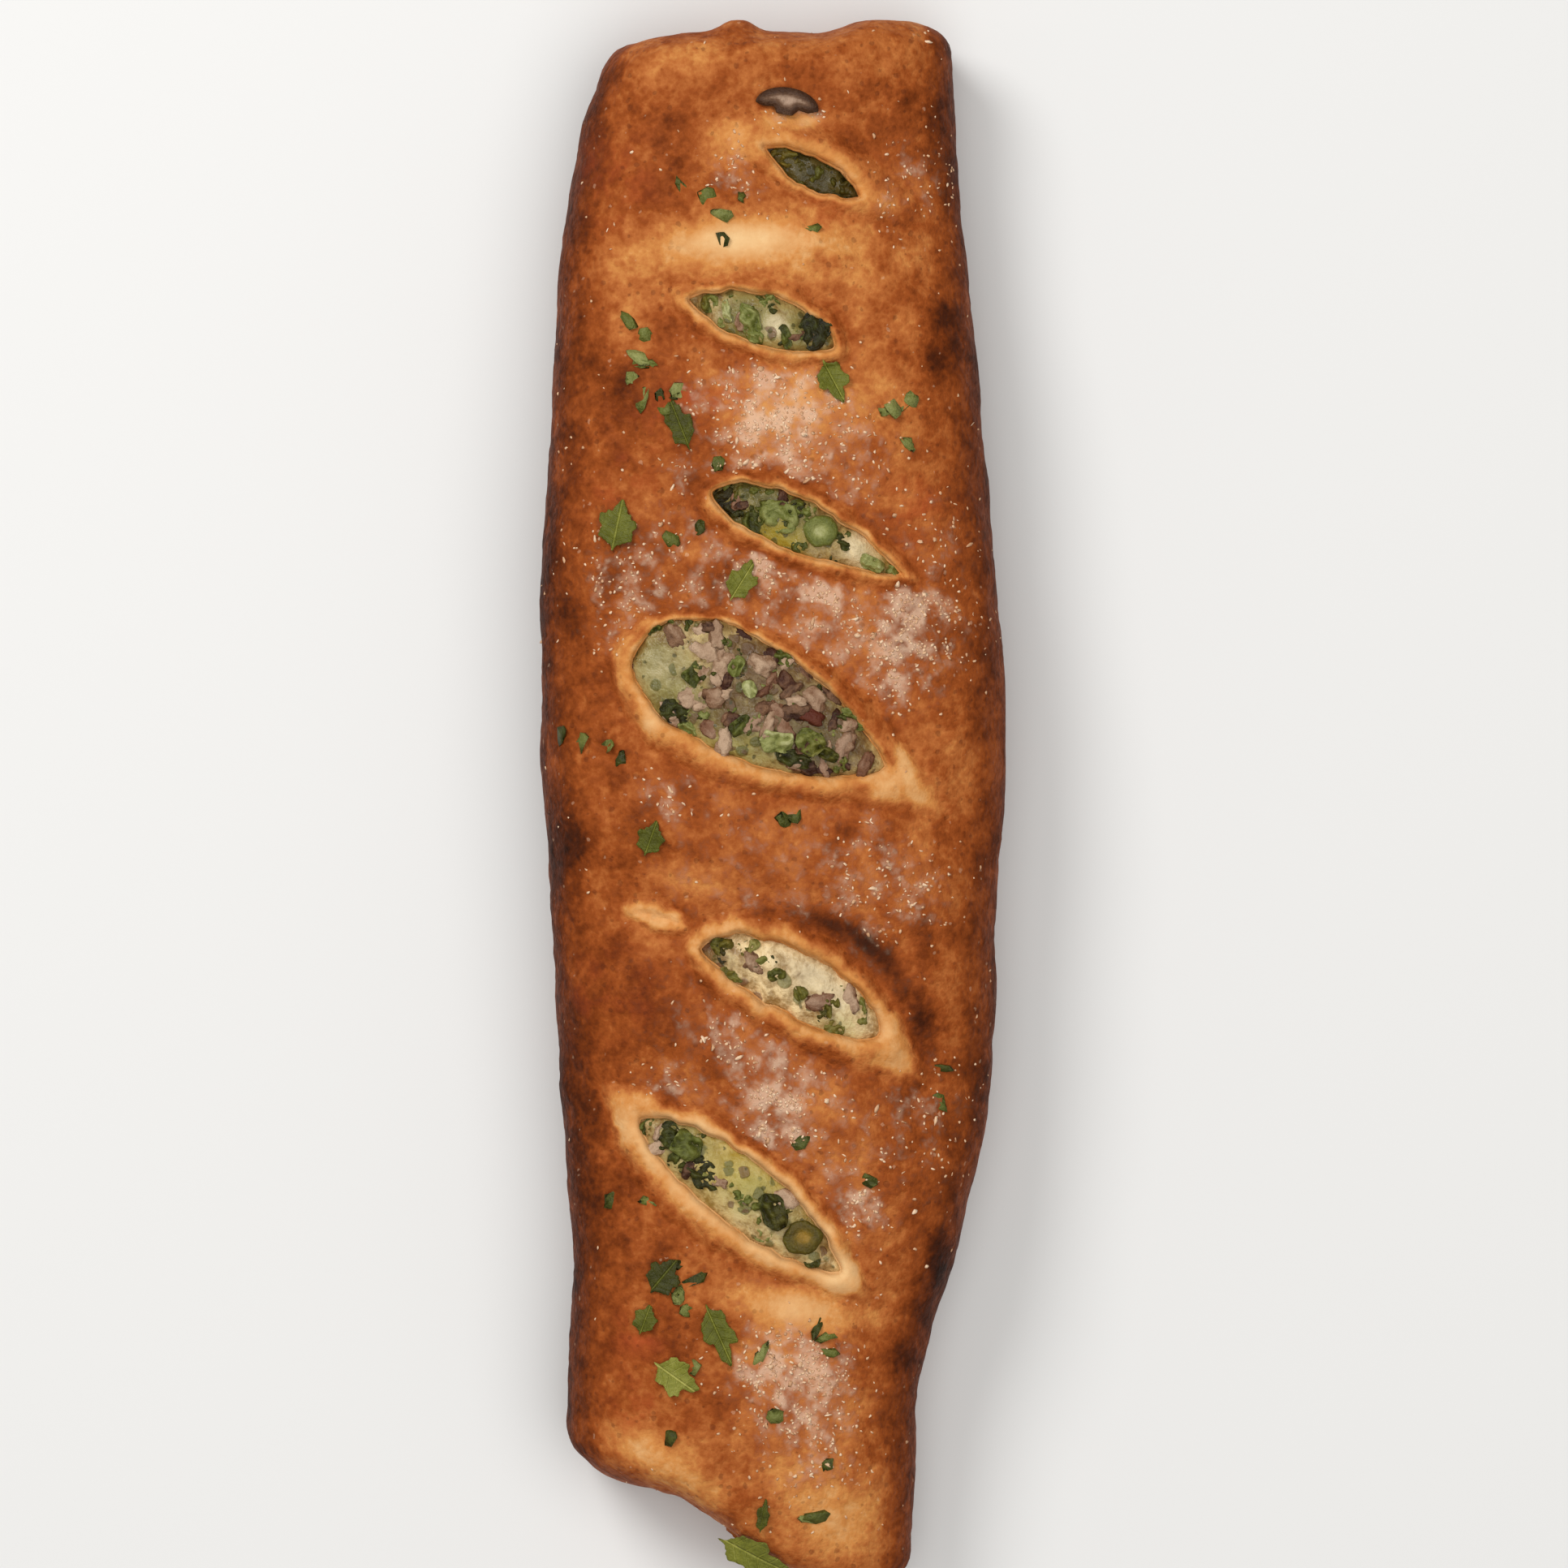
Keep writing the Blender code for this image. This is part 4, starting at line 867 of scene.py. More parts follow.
def paintCrust(mesh):
    points = meshPoints(mesh)
    x, y, z = points.T
    outside, fromOpening, _, _ = slashFields(x, y)
    onTop = smoothstep(0.45, 0.62, z / crownHeight(y))
    clear = smoothstep(0.2, 1.6, outside) * onTop
    tail = onTop * smoothstep(2.5, 5.0, fromOpening) * 0.45
    storeValues(mesh, "bake", browning(x, y, z))
    storeValues(mesh, "red", spread(redSpots, x, y) * onTop)
    clumps = smoothstep(-0.35, 0.55, fieldNoise(points, 3.4, 3, 6.1))
    dust = np.clip(spread(cheeseSpots, x, y) + 0.006, 0.0, 1.0)
    storeValues(mesh, "cheese", dust * np.maximum(clear, tail) * (0.15 + 1.0 * clumps))
    along = (y - hazeBand["middle"]) / hazeBand["halfLength"]
    band = hazeBand["amount"] * np.exp(-((x / hazeBand["halfWidth"]) ** 2) - along**4)
    storeValues(mesh, "haze", (dust + band) * np.maximum(clear, tail) * (0.3 + 0.85 * clumps))
    storeValues(mesh, "herbs", spread(flakeSpots, x, y) * clear)


paintCrust(crustPiece.data)
print("crust painted")


# Filling: a core through the loaf, with a mound that rises into each opening
filling = {
    "step": 0.6,
    "overlap": 0.12,  # melted cheese sticks to the dough
    "rootInset": 0.5,
    "rootDepth": 9.0,
    "dome": 1.1,
    "edgeDip": 0.5,
    # unevenness of the melted top: height, size, octaves, offset
    "relief": [(0.55, 5.0, 2, 1.7), (0.275, 1.9, 2, 5.3)],
    "cling": 0.45,
    "seed": 17,
}
# extra depth at one end of an opening: x, y, reach, depth
deepSpots = [(-9, 61, 6, 2.6), (11, 127.5, 5, 0.8), (-16, 101, 3.5, 1.2), (-13.5, -28, 3, 1.2)]


def insidePoints(outline, step, margin, draw):
    low, high = outline.min(0), outline.max(0)
    spots = hexPoints(low[0], high[0], low[1], high[1], step, draw)
    return spots[edgeDistance(outline, spots[:, 0], spots[:, 1]) < -margin]


def fillOutline(outline, inner):
    # triangles over an outline and the points inside it
    count = len(outline)
    spots = [Vector(p) for p in np.vstack((outline, inner))]
    edges = [(i, (i + 1) % count) for i in range(count)]
    result = delaunay_2d_cdt(spots, edges, [], 1, 1e-6, False)
    plan = np.array([tuple(p) for p in result[0]])
    faces = np.array([tuple(face) for face in result[2]])
    middles = plan[faces].mean(1)
    return plan, faces[edgeDistance(outline, middles[:, 0], middles[:, 1]) < 0].tolist()


def boundaryLoop(faces):
    # the outer edge of a set of triangles, in order
    step = {}
    pairs = {(face[i], face[(i + 1) % 3]) for face in faces for i in range(3)}
    for a, b in pairs:
        if (b, a) not in pairs:
            step[a] = b
    start = next(iter(step))
    loop = [start]
    while step[loop[-1]] != start:
        loop.append(step[loop[-1]])
    return loop


def plateSolid(plan, faces, over, under, underPlan=None):
    # a closed solid between two heights over one triangulated plan
    count = len(plan)
    low = plan if underPlan is None else underPlan
    points = np.vstack((np.column_stack((plan, over)), np.column_stack((low, under))))
    solid = list(faces) + [(c + count, b + count, a + count) for a, b, c in faces]
    loop = boundaryLoop(faces)
    for a, b in zip(loop, loop[1:] + loop[:1]):
        solid += [(b, a, a + count), (b, a + count, b + count)]
    return points, solid


def moundHeight(slash, x, y):
    edge = np.maximum(0.0, -edgeDistance(slash["openingEdge"], x, y))
    height = plainSkin(x, y) - slash["drop"] - filling["edgeDip"] * np.exp(-edge / 0.8)
    height += filling["dome"] * (1.0 - np.exp(-edge / 3.0))
    height += sum(amount * fieldNoise(flatPoints(x, y), *rest) for amount, *rest in filling["relief"])
    return height - roundSpots(deepSpots, x, y)


def clinging(bits, x, y):
    # melted cheese draws up round each bit that lies in it
    rise = np.zeros(len(x))
    for bitX, bitY, length, width in bits:
        away = ((x - bitX) ** 2 + (y - bitY) ** 2) / (0.32 * (length + width)) ** 2
        rise = np.maximum(rise, filling["cling"] * np.exp(-(away**1.5)))
    return rise


def makeMound(slash, bits):
    draw = np.random.default_rng(filling["seed"])
    outline = offsetOutline(evenOutline(slash["openingEdge"], filling["step"]), filling["overlap"])
    inner = insidePoints(outline, filling["step"], filling["step"] * 0.6, draw)
    plan, faces = fillOutline(outline, inner)
    middle = plan.mean(0)
    over = moundHeight(slash, plan[:, 0], plan[:, 1]) + clinging(bits, plan[:, 0], plan[:, 1])
    toMiddle = middle - plan
    toMiddle /= np.maximum(1.0, np.linalg.norm(toMiddle, axis=1, keepdims=True))
    root = plan + toMiddle * (filling["overlap"] + filling["rootInset"])
    under = plainSkin(root[:, 0], root[:, 1]) - filling["rootDepth"]
    mesh = makeMesh("mound", *plateSolid(plan, faces, over, under, root))
    turnOutward(mesh)
    return makeObject("mound", mesh)


# Tints of the melted cheese: x, y, reach, amount
fillingTints = {
    "green": [
        (-24, 30, 6, 0.7), (-20, 20, 8, 0.7), (-5, 14, 10, 0.7), (10, 14, 8, 0.7), (12, -46, 7, 0.5),
        (-4, -78, 6, 0.8), (0, 59, 8, 1), (-6, 62, 8, 1), (-6, 99, 7, 0.9), (7, 96, 6, 0.8), (6, -88, 6, 0.6),
        (-18, -69, 8, 0.7), (8, 129, 14, 1), (-13, -31, 5, 0.6),
    ],
    "yellow": [
        (1.6, 54.2, 4, 1.6), (-8, -72, 9, 0.5), (22, 50, 5, 0.2), (0.5, -77, 5, 0.25), (6.5, -83, 4, 0.2),
        (-12, 10, 6, 0.3),
    ],
    "white": [
        (7.5, -34.5, 4.5, 0.8), (13.5, -38.5, 4, 0.75), (1, -30.5, 4, 0.5), (-11, 99, 2.2, 0.8),
        (0.4, 97.8, 2.6, 1.1), (18.6, 52.4, 5, 1.2), (-23, 29, 6, 0.6), (8, 23.6, 2.6, 0.8), (-2, 5, 5, 0.3),
        (-14, 10, 5, 0.5), (-2.5, -71.5, 4.5, 0.9), (5.5, -79.5, 4, 0.9),
    ],
    # darker brown round the bits: partly browned filling, partly painted shade in the gaps between them
    "brown": [
        (-6, 28, 8, 1.2), (4, 22, 9, 1.2), (13, 12, 7, 1.1), (-12, 18, 7, 0.7), (6, 95, 4, 0.5),
        (-4, -33, 5, 0.4), (-12.5, -30, 4.5, 1), (14, -45, 4, 0.4), (-6, -78, 5, 0.3),
    ],
}


# Where the filling is lighter than the rest of its opening, and where greens have gone brown:
# x, y, reach, amount
lightSpots = [(18, 52.4, 4.2, 0.55), (0.4, 97.8, 2.6, 0.45), (-24, 29, 5, 0.12), (-12.5, 100.5, 2.6, 0.15)]
wiltedSpots = [
    (6, -87.6, 5, 1), (-16.6, 103.4, 3, 0.9), (0.5, 132.4, 4.5, 0.7), (13.8, 126.4, 3, 0.7),
    (6, 129.6, 4, 0.45), (-9.5, 63.4, 4, 0.5), (0, -82.4, 4, 0.3), (-9, -30.5, 6, 0.7), (4, -37, 5, 0.4),
    (13, -43, 6, 0.6), (-14, -74, 4, 0.25), (-29, 30, 4, 0.5), (10, 10, 5, 0.35),
]


def fillingToneAndPaintedShade(x, y):
    # how light the filling is, by the nearest opening: darker cheese, with painted shade in the deep
    # openings, lifted where pale cheese shows
    best, shade = np.full(len(x), 1e9), np.ones(len(x))
    for slash in slashes.values():
        away = np.hypot(x - slash["openingEdge"][:, 0].mean(), y - slash["openingEdge"][:, 1].mean())
        shade = np.where(away < best, slash["shade"], shade)
        best = np.minimum(best, away)
    return np.minimum(1.0, shade + spread(lightSpots, x, y))


# What shows in the openings, each as x, y, length, width, turn, tone and lift
greens = {
    "thickness": 0.55,
    "crumple": 1.5,
    "sink": 0.35,
    "stepsLong": 17,
    "stepsWide": 13,
    "leaves": [
        # first slash
        (9.2, 127.6, 8.5, 4, -35, 0.1, -0.4), (2.2, 132.2, 6, 3.4, -25, 0.3, 0.1),
        (14, 125.4, 4.2, 2.6, -40, 0.12, 0),
        # second
        (-13.2, 102.6, 4.2, 3.4, 70, 0.4, 0.3), (-4.4, 98.2, 8.8, 3.8, -70, 0.52, 0.8),
        (-9.6, 100.6, 5, 1.8, -80, 0.78, 0.5), (2.4, 95.6, 5.4, 2, -75, 0.34, 0.6),
        (8.2, 96.9, 8.4, 5.8, 60, 0.02, 0.8), (-1.5, 102.6, 6, 2.4, -15, 0.3, 0),
        # third
        (-8, 61.8, 9, 5.6, -15, 0.03, 0.2), (-4.2, 57.6, 5.4, 4.2, 60, 0.22, 0.7),
        (1.2, 58.9, 8.4, 5.6, -30, 0.56, 0.9), (6, 60, 6, 2.6, -40, 0.42, 0.6),
        (13.4, 54, 5, 2.4, -40, 0.2, 0.5), (-1.8, 60.6, 5, 2.6, -20, 0.34, 0.5),
        (20, 49.4, 5.2, 2.8, -25, 0.66, 0.7), (24, 47.9, 3.2, 2, -25, 0.55, 0.6),
        # fourth
        (-24.4, 36.2, 3.4, 2.2, 30, 0.25, 0.6), (-15.8, 26.6, 5, 4.2, 40, 0.3, 1.1),
        (-20, 19.3, 6.8, 4.8, -10, 0.08, 1), (-17.6, 16, 4.8, 2.8, -40, 0.55, 0.9),
        (-7.6, 28.6, 4.6, 2.6, 60, 0.6, 1.2), (-4.8, 23.8, 3.6, 2.6, -60, 0.8, 1.4),
        (2, 30, 4.2, 2.4, -40, 0.35, 0.9), (-6.8, 16.4, 5.2, 3.6, 30, 0.3, 1.1),
        (0.8, 13.2, 7, 4.2, -5, 0.7, 1.2), (7.6, 13, 6, 4.4, -30, 0.45, 1.5),
        (16.2, 17.8, 6, 3.8, -20, 0.5, 1.2), (4, 9.6, 8, 3.2, -15, 0.12, 0.9),
        (11, 10.8, 5, 2.6, -35, 0.2, 0.9), (-11, 33.6, 3, 1.8, 0, 0.25, 0.8),
        # fifth
        (-9.6, -28.4, 6.6, 3.4, -8, 0.4, 0.4), (-5.2, -28.8, 3.6, 2.8, 40, 0.36, 0.4),
        (-8.4, -34.2, 5.4, 2.4, -25, 0.44, 0.3), (0.4, -34.2, 3.8, 2.8, 20, 0.3, 0.5),
        (-2.6, -31.6, 3, 2, 20, 0.42, 0.3), (5.2, -38, 3.4, 2.8, -60, 0.42, 0.6),
        (10.4, -40.6, 2.8, 4.2, 10, 0.34, 0.5), (17.6, -41.6, 2.4, 6, 10, 0.5, 0.1),
        (12.5, -45.2, 4.4, 2.8, -20, 0.46, 0.2),
        # sixth
        (-14.2, -74.8, 8, 5.2, -50, 0.1, 0.7), (-20.6, -67.4, 6.6, 4.6, -40, 0.14, 0.5),
        (-17.6, -69, 7, 5.4, -35, 0.44, 1.3), (-7.4, -79, 2.2, 1.8, 0, 0.35, 0.9),
        (-5.2, -80, 1.8, 1.6, 40, 0.4, 0.9), (-3.6, -81.4, 1.8, 1.5, 10, 0.45, 0.9),
        (0, -82.4, 7.4, 4.8, -70, 0.2, 1),
    ],
}


# Smaller pieces between them, drawn at random: how many greens and how many mushroom bits
mixedSeed = 29
mixedIn = {
    "first": (9, 0), "second": (9, 1), "third": (16, 2),
    "fourth": (34, 36), "fifth": (8, 3), "sixth": (12, 4),
}
# Where bare cheese shows between them: x, y, reach
clearSpots = [
    (-22, 28, 6.5), (-14, 10.5, 3.5), (-7, -72.5, 5), (18, 52.4, 4.5), (1.6, 54.4, 3.4), (0.4, 97.8, 2.4),
    (8.2, 96.8, 3.4), (8.5, -34.5, 4), (9.4, 56, 4.2), (6, -87.6, 4.4),
]


def spareSpots(draw, slash, count, margin, apart):
    # places inside an opening, away from its edge, from each other and from where bare cheese shows
    outline = slash["openingEdge"]
    low, high = outline.min(0), outline.max(0)
    chosen = []
    for _ in range(count * 60):
        x, y = draw.uniform(low[0], high[0]), draw.uniform(low[1], high[1])
        if edgeDistance(outline, *np.array([[x], [y]]))[0] > -margin:
            continue
        bare = any(math.hypot(x - a, y - b) < reach for a, b, reach in clearSpots)
        if bare or any(math.hypot(x - a, y - b) < apart for a, b in chosen):
            continue
        chosen.append((x, y))
        if len(chosen) == count:
            break
    return chosen


def drawMixed():
    draw = np.random.default_rng(mixedSeed)
    leaves, bits = [], []
    for name, (greenCount, bitCount) in mixedIn.items():
        # greens and bits in the darker openings are darkened too, partly as painted shade
        light = min(1.0, 0.2 + slashes[name]["shade"])
        for x, y in spareSpots(draw, slashes[name], greenCount, 1.2, 2.0):
            length = draw.uniform(2.0, 4.2)
            width = length * draw.uniform(0.5, 0.85)
            turn, tone = draw.uniform(0, 180), light * draw.choice((0.08, 0.2, 0.35, 0.55))
            leaves.append((x, y, length, width, turn, tone, 0.2))
        for x, y in spareSpots(draw, slashes[name], bitCount, 1.3, 2.6):
            length = draw.uniform(3.0, 6.2)
            width = length * draw.uniform(0.45, 0.85)
            tone, turn = light * draw.choice((0.15, 0.3, 0.6, 0.8, 1.0, 1.1)), draw.uniform(0, 180)
            bits.append((x, y, length, width, length * 0.38, turn, tone, draw.choice((0.0, 0.1, 0.5))))
    return leaves, bits


extraLeaves, extraBits = drawMixed()


def moundAt(*place):
    # top of the filling at one spot
    spot = np.array(place)[:, None]
    for slash in slashes.values():
        if slash["drop"] and edgeDistance(slash["openingEdge"], *spot)[0] < 0.6:
            return float(moundHeight(slash, *spot)[0])
    return float(plainSkin(*spot)[0])


def joinParts(name, parts):
    # one mesh from (points, faces) parts, with what each part's corners are worth
    points, faces, values, base = [], [], {}, 0
    for part in parts:
        points.append(part["points"])
        faces += [tuple(base + i for i in face) for face in part["faces"]]
        for key, value in part["values"].items():
            values.setdefault(key, []).append(np.broadcast_to(value, len(part["points"])))
        base += len(part["points"])
    mesh = makeMesh(name, np.vstack(points), faces)
    turnOutward(mesh)
    for key, value in values.items():
        storeValues(mesh, key, np.concatenate(value))
    return mesh


def wiltedLeaf(x, y, length, width, turn, tone, lift, seed):
    # a crumpled bit of leaf: a wavy sheet with a rounded, uneven outline, closed on both sides
    rows, columns = greens["stepsLong"], greens["stepsWide"]
    t, s = np.meshgrid(np.linspace(-1, 1, rows), np.linspace(-1, 1, columns), indexing="ij")
    reach = (1.0 - np.abs(t) ** 2.6) ** 0.45 + 0.08
    points = np.column_stack((t.ravel() * length / 2, (s * reach).ravel() * width / 2, np.zeros(t.size)))
    wander = np.array([noise.noise_vector((p[0] / 2.2 + seed, p[1] / 2.2, seed * 0.7)) for p in points])
    points[:, :2] += 0.85 * wander[:, :2] * min(1.0, width / 4)
    edge = 1.0 - np.maximum(np.abs(t), np.abs(s)).ravel() ** 2
    folds = fractals([(p[0] / 1.5 + seed, p[1] / 1.1, seed) for p in points], 0.9, 2.1, 2)
    points[:, 2] = greens["crumple"] * folds * min(1.0, width / 3) + 0.5 * edge
    points[:, :2] = turnedTo(points, x, y, turn)
    points[:, 2] += moundAt(x, y) + lift - greens["sink"]
    under = points[:, 2] - (greens["thickness"] * (0.35 + 0.65 * edge) + 0.1)
    index = np.arange(rows * columns).reshape(rows, columns)
    corners = (index[:-1, :-1], index[1:, :-1], index[1:, 1:], index[:-1, 1:])
    a, b, c, d = (corner.ravel().tolist() for corner in corners)
    points, solid = plateSolid(points[:, :2], list(zip(a, b, c)) + list(zip(a, c, d)), points[:, 2], under)
    # the tone follows the folds' height: painted light on the raised folds and painted shade in the hollows
    shade = np.clip(tone + 0.24 * np.tile(folds, 2), 0, 1)
    return {"points": points, "faces": solid, "values": {"tone": shade}}


def makeGreens():
    parts = [wiltedLeaf(*leaf, seed=3.0 + 1.7 * i) for i, leaf in enumerate(greens["leaves"] + extraLeaves)]
    return makeObject("greens", joinParts("greens", parts))


# Round slices of green stalk, paler in the middle: x, y, radius, tone, lift
stalks = {
    "sides": 30,
    "rounds": [(9.4, 56, 3.6, 0.5, 1.2), (6, -87.6, 3.9, 0.4, 0.9)],
    # from the middle outward: share of the radius, height, paleness
    "profile": [
        (0.12, 0.02, 0.8), (0.28, 0.12, 0.7), (0.42, 0.32, 0.35), (0.56, 0.52, 0.1), (0.72, 0.58, 0),
        (0.88, 0.4, 0), (0.98, 0, -0.1), (1, -0.7, -0.1), (0.9, -1.6, 0),
    ],
}


def makeStalks():
    parts = []
    angle = np.linspace(0, 2 * math.pi, stalks["sides"], endpoint=False)
    for index, (x, y, radius, tone, lift) in enumerate(stalks["rounds"]):
        ground = moundAt(x, y) + lift - 0.6
        wander = fractals([(0.8 * math.cos(a), 0.8 * math.sin(a), index) for a in angle], 0.9, 2.4, 3)
        wobble = 1.0 + 0.22 * wander
        rings, pale = [], []
        for share, height, paleness in stalks["profile"]:
            reach = radius * share * wobble
            sideways, rough = reach * np.sin(angle) * 0.9, 0.5 * np.roll(wander, 3 * len(rings))
            z = ground + height + rough * smoothstep(0.0, 0.5, share)
            rings.append(np.column_stack((x + reach * np.cos(angle), y + sideways, z)))
            pale += [paleness] * stalks["sides"]
        points, faces = ringSolid(rings)
        tones = tone + 0.45 * np.array(pale + [0.7, 0.0])
        parts.append({"points": points, "faces": faces, "values": {"tone": np.clip(tones, 0, 1)}})
    return makeObject("greenRounds", joinParts("greenRounds", parts))


# Chopped mushroom and roasted bits: x, y, length, width, height, turn, tone, red
chopped = {
    "subdivisions": 3,
    "roughness": 0.48,
    "bits": [
        (-12.2, 36, 4.6, 2.4, 2, -15, 0.15, 0), (-6.2, 34.6, 4.4, 2.2, 1.8, -30, 0.1, 0.1),
        (-9, 29.6, 5.2, 3.4, 2, 20, 0.72, 0), (-2.2, 28.8, 5.6, 4.4, 2.4, -20, 0.85, 0),
        (-12, 22.4, 5, 4.4, 2.2, 0, 0.62, 0.1), (-9.8, 25.2, 4.2, 2.8, 2, 50, 0.18, 0.1),
        (2.6, 25.2, 4.4, 3, 2.2, -45, 0.15, 0.2), (4.8, 21.4, 4.6, 2.6, 2.2, -10, 0.95, 0),
        (6.2, 27.4, 4.6, 2.2, 1.8, -50, 0.3, 0.1), (-1.8, 20, 4, 3, 2, 10, 0.45, 0.1),
        (7.2, 18.4, 6, 3.6, 2.6, -25, 0.12, 1), (14.6, 12.8, 5, 4.6, 2.2, 0, 0.66, 0.2),
        (-9.6, 17.6, 4.4, 3.2, 2, -20, 0.4, 0.2), (9.4, 7.6, 5.2, 2.2, 1.6, -10, 0.08, 0.1),
        (11.6, 22.4, 4.2, 2.2, 1.8, -45, 0.35, 0), (-29.3, 28.4, 3.2, 2.8, 1.8, 0, 0.1, 0.3),
        (-6, 61.2, 3.2, 2.2, 1.4, 0, 0.12, 0), (4.4, 95.4, 3.6, 2.6, 1.4, 40, 0.35, 0.2),
        (-3.2, -33, 3, 1.8, 1.2, -20, 0.6, 0), (-11, -76.5, 3.4, 2.2, 1.4, -30, 0.75, 0.1),
    ],
}


def makeChopped():
    parts = []
    for index, (x, y, length, width, height, turn, tone, red) in enumerate(chopped["bits"] + extraBits):
        bm = bmesh.new()
        bmesh.ops.create_icosphere(bm, subdivisions=chopped["subdivisions"], radius=1.0)
        points = np.array([tuple(v.co) for v in bm.verts])
        faces = [tuple(v.index for v in face.verts) for face in bm.faces]
        bm.free()
        coarse = fractals((points * 1.25 + index * 3.3).tolist(), 0.8, 2.1, 4)
        boxy = np.sign(points) * np.abs(points) ** 0.95
        points = boxy * (1.0 + chopped["roughness"] * coarse)[:, None]
        points *= (length / 2, width / 2, height / 2)
        points[:, :2] = turnedTo(points, x, y, turn)
        points[:, 2] += moundAt(x, y)
        rim = 1.0 - np.clip(boxy[:, 2], 0.0, 1.0)  # darker towards its bottom
        values = {"tone": np.clip(tone + 0.3 * coarse - 0.35 * rim, 0, 1), "red": red}
        parts.append({"points": points, "faces": faces, "values": values})
    return makeObject("choppedBits", joinParts("choppedBits", parts))


def storeSpread(piece, key, spots):
    x, y, _ = meshPoints(piece.data).T
    storeValues(piece.data, key, spread(spots, x, y))


def makeFilling():
    inset, endInset = loaf["wall"] + loaf["gap"], loaf["endWall"] + loaf["gap"]
    piece = makeObject("meltedFilling", bodySolid("meltedFilling", inset, endInset))
    bits = [bit[:4] for bit in chopped["bits"] + extraBits] + [leaf[:4] for leaf in extraLeaves]
    for slash in slashes.values():
        if slash["drop"]:
            boolean(piece, makeMound(slash, bits), "UNION")
    for key, spots in fillingTints.items():
        storeSpread(piece, key, spots)
    x, y, _ = meshPoints(piece.data).T
    storeValues(piece.data, "shade", fillingToneAndPaintedShade(x, y))
    print("filling:", len(piece.data.polygons), "faces")
    return piece


fillingPiece = makeFilling()
greensPiece = makeGreens()
stalksPiece = makeStalks()
choppedPiece = makeChopped()
storeSpread(greensPiece, "wilted", wiltedSpots)
storeSpread(stalksPiece, "wilted", wiltedSpots)
print("bits in the openings made")


# Ground under what lies on top
class Ground:
    def __init__(self, pieces):
        bm = bmesh.new()
        for piece in pieces:
            bm.from_mesh(piece.data)
        self.tree = BVHTree.FromBMesh(bm)
        bm.free()

    def height(self, x, y):
        start = Vector(((x + planShift[0]) * mm, (y + planShift[1]) * mm, 0.2))
        hit = self.tree.ray_cast(start, Vector((0, 0, -1)))[0]
        return hit.z / mm if hit else 0.0

    def seat(self, x, y, reach):
        spots = [(x, y)]
        for i in range(8):
            angle = math.pi * i / 4
            spots.append((x + reach * math.cos(angle), y + reach * math.sin(angle)))
        return max(self.height(*spot) for spot in spots)


ground = Ground([crustPiece, fillingPiece])

# Loose parsley leaves: x, y, length, width, heading, tone
parsley = {
    "step": 0.42,
    "thickness": 0.3,
    # lobes: direction, size, width
    "lobes": [
        (0, 0.52, 0.36), (0.66, 0.16, 0.18), (-0.64, 0.18, 0.18), (1.15, 0.34, 0.3), (-1.2, 0.32, 0.3),
        (2, 0.2, 0.3), (-1.95, 0.18, 0.3),
    ],
    "gap": 0.12,
    "curl": 1.3,
    "droop": 0.55,
    "seatReach": 0.5,
    "leaves": [
        (-31.8, 57.2, 10.8, 8, 78, 0.46), (12.2, 86.5, 9.8, 6.6, -62, 0.55), (-6.4, 45.8, 9.6, 6, 58, 0.62),
        (-19, 77.5, 11, 5.6, 112, 0.3), (-25, -6.5, 7.8, 6, 70, 0.36), (-22.5, -95.5, 8.8, 7.2, 50, 0.16),
        (-11.2, -107.5, 13.8, 6.6, -66, 0.48), (-20, -116.2, 10.8, 7.8, -35, 0.75),
        (-26.2, -104.5, 6.6, 5.2, 70, 0.45), (-2.2, -144.5, 7.4, 2.8, 80, 0.35),
        (-4, -152.8, 16.5, 7.2, -27, 0.62),
    ],
}


def leafOutline(length, width, seed):
    # three main lobes with smaller ones below them, toothed, on a short stalk
    angle = np.linspace(-math.pi, math.pi, 480, endpoint=False)
    reach = np.full(len(angle), 0.58)
    for place, size, wide in parsley["lobes"]:
        turned = place + 0.12 * math.sin(3 * seed + 5 * place)
        size *= 1.0 + 0.12 * math.sin(seed + 2 * place)
        reach += size * np.exp(-(((angle - turned) / wide) ** 2))
    reach *= 1.0 + 0.04 * np.cos(19 * angle + seed) * smoothstep(0.4, 0.7, reach)
    reach += 0.22 * np.exp(-(((math.pi - np.abs(angle)) / 0.1) ** 2))
    points = np.column_stack((reach * np.cos(angle), reach * np.sin(angle)))
    low, high = points.min(0), points.max(0)
    return (points - (low + high) / 2) / (high - low) * (length, width)


def makeLeaf(index, x, y, length, width, heading, tone):
    outline = evenOutline(leafOutline(length, width, index * 1.3), parsley["step"])
    inner = insidePoints(outline, parsley["step"], parsley["step"] * 0.55, np.random.default_rng(index))
    plan, faces = fillOutline(outline, inner)
    turned = turnedTo(plan, x, y, heading)
    seats = np.array([ground.seat(px, py, parsley["seatReach"]) for px, py in turned])
    held = turned[np.argmax(seats)]
    drooped = seats.max() - parsley["droop"] * np.linalg.norm(turned - held, axis=1)
    across = plan[:, 1] / (width / 2)
    along = plan[:, 0] / length + 0.5
    wave = np.sin(9.0 * along + 2.2 * index) * across**2
    wave += 0.5 * np.sin(17.0 * along + index) * np.abs(across) ** 3
    curl = parsley["curl"] * (0.55 + 0.45 * wave) * np.abs(across) ** 1.5
    curl += 0.25 * np.abs(np.sin(math.pi * (along * 5 - np.abs(across)))) * (1 - np.abs(across))
    under = np.maximum(seats, drooped) + parsley["gap"] + np.maximum(0.0, curl)
    points, solid = plateSolid(turned, faces, under + parsley["thickness"], under)
    values = {"tone": tone, "along": np.tile(along, 2), "across": np.tile(across, 2)}
    return {"points": points, "faces": solid, "values": values}


def makeLeaves():
    parts = [makeLeaf(i, *leaf) for i, leaf in enumerate(parsley["leaves"])]
    return makeObject("parsleyLeaves", joinParts("parsleyLeaves", parts))


leavesPiece = makeLeaves()
print("parsley leaves:", len(leavesPiece.data.polygons), "faces")

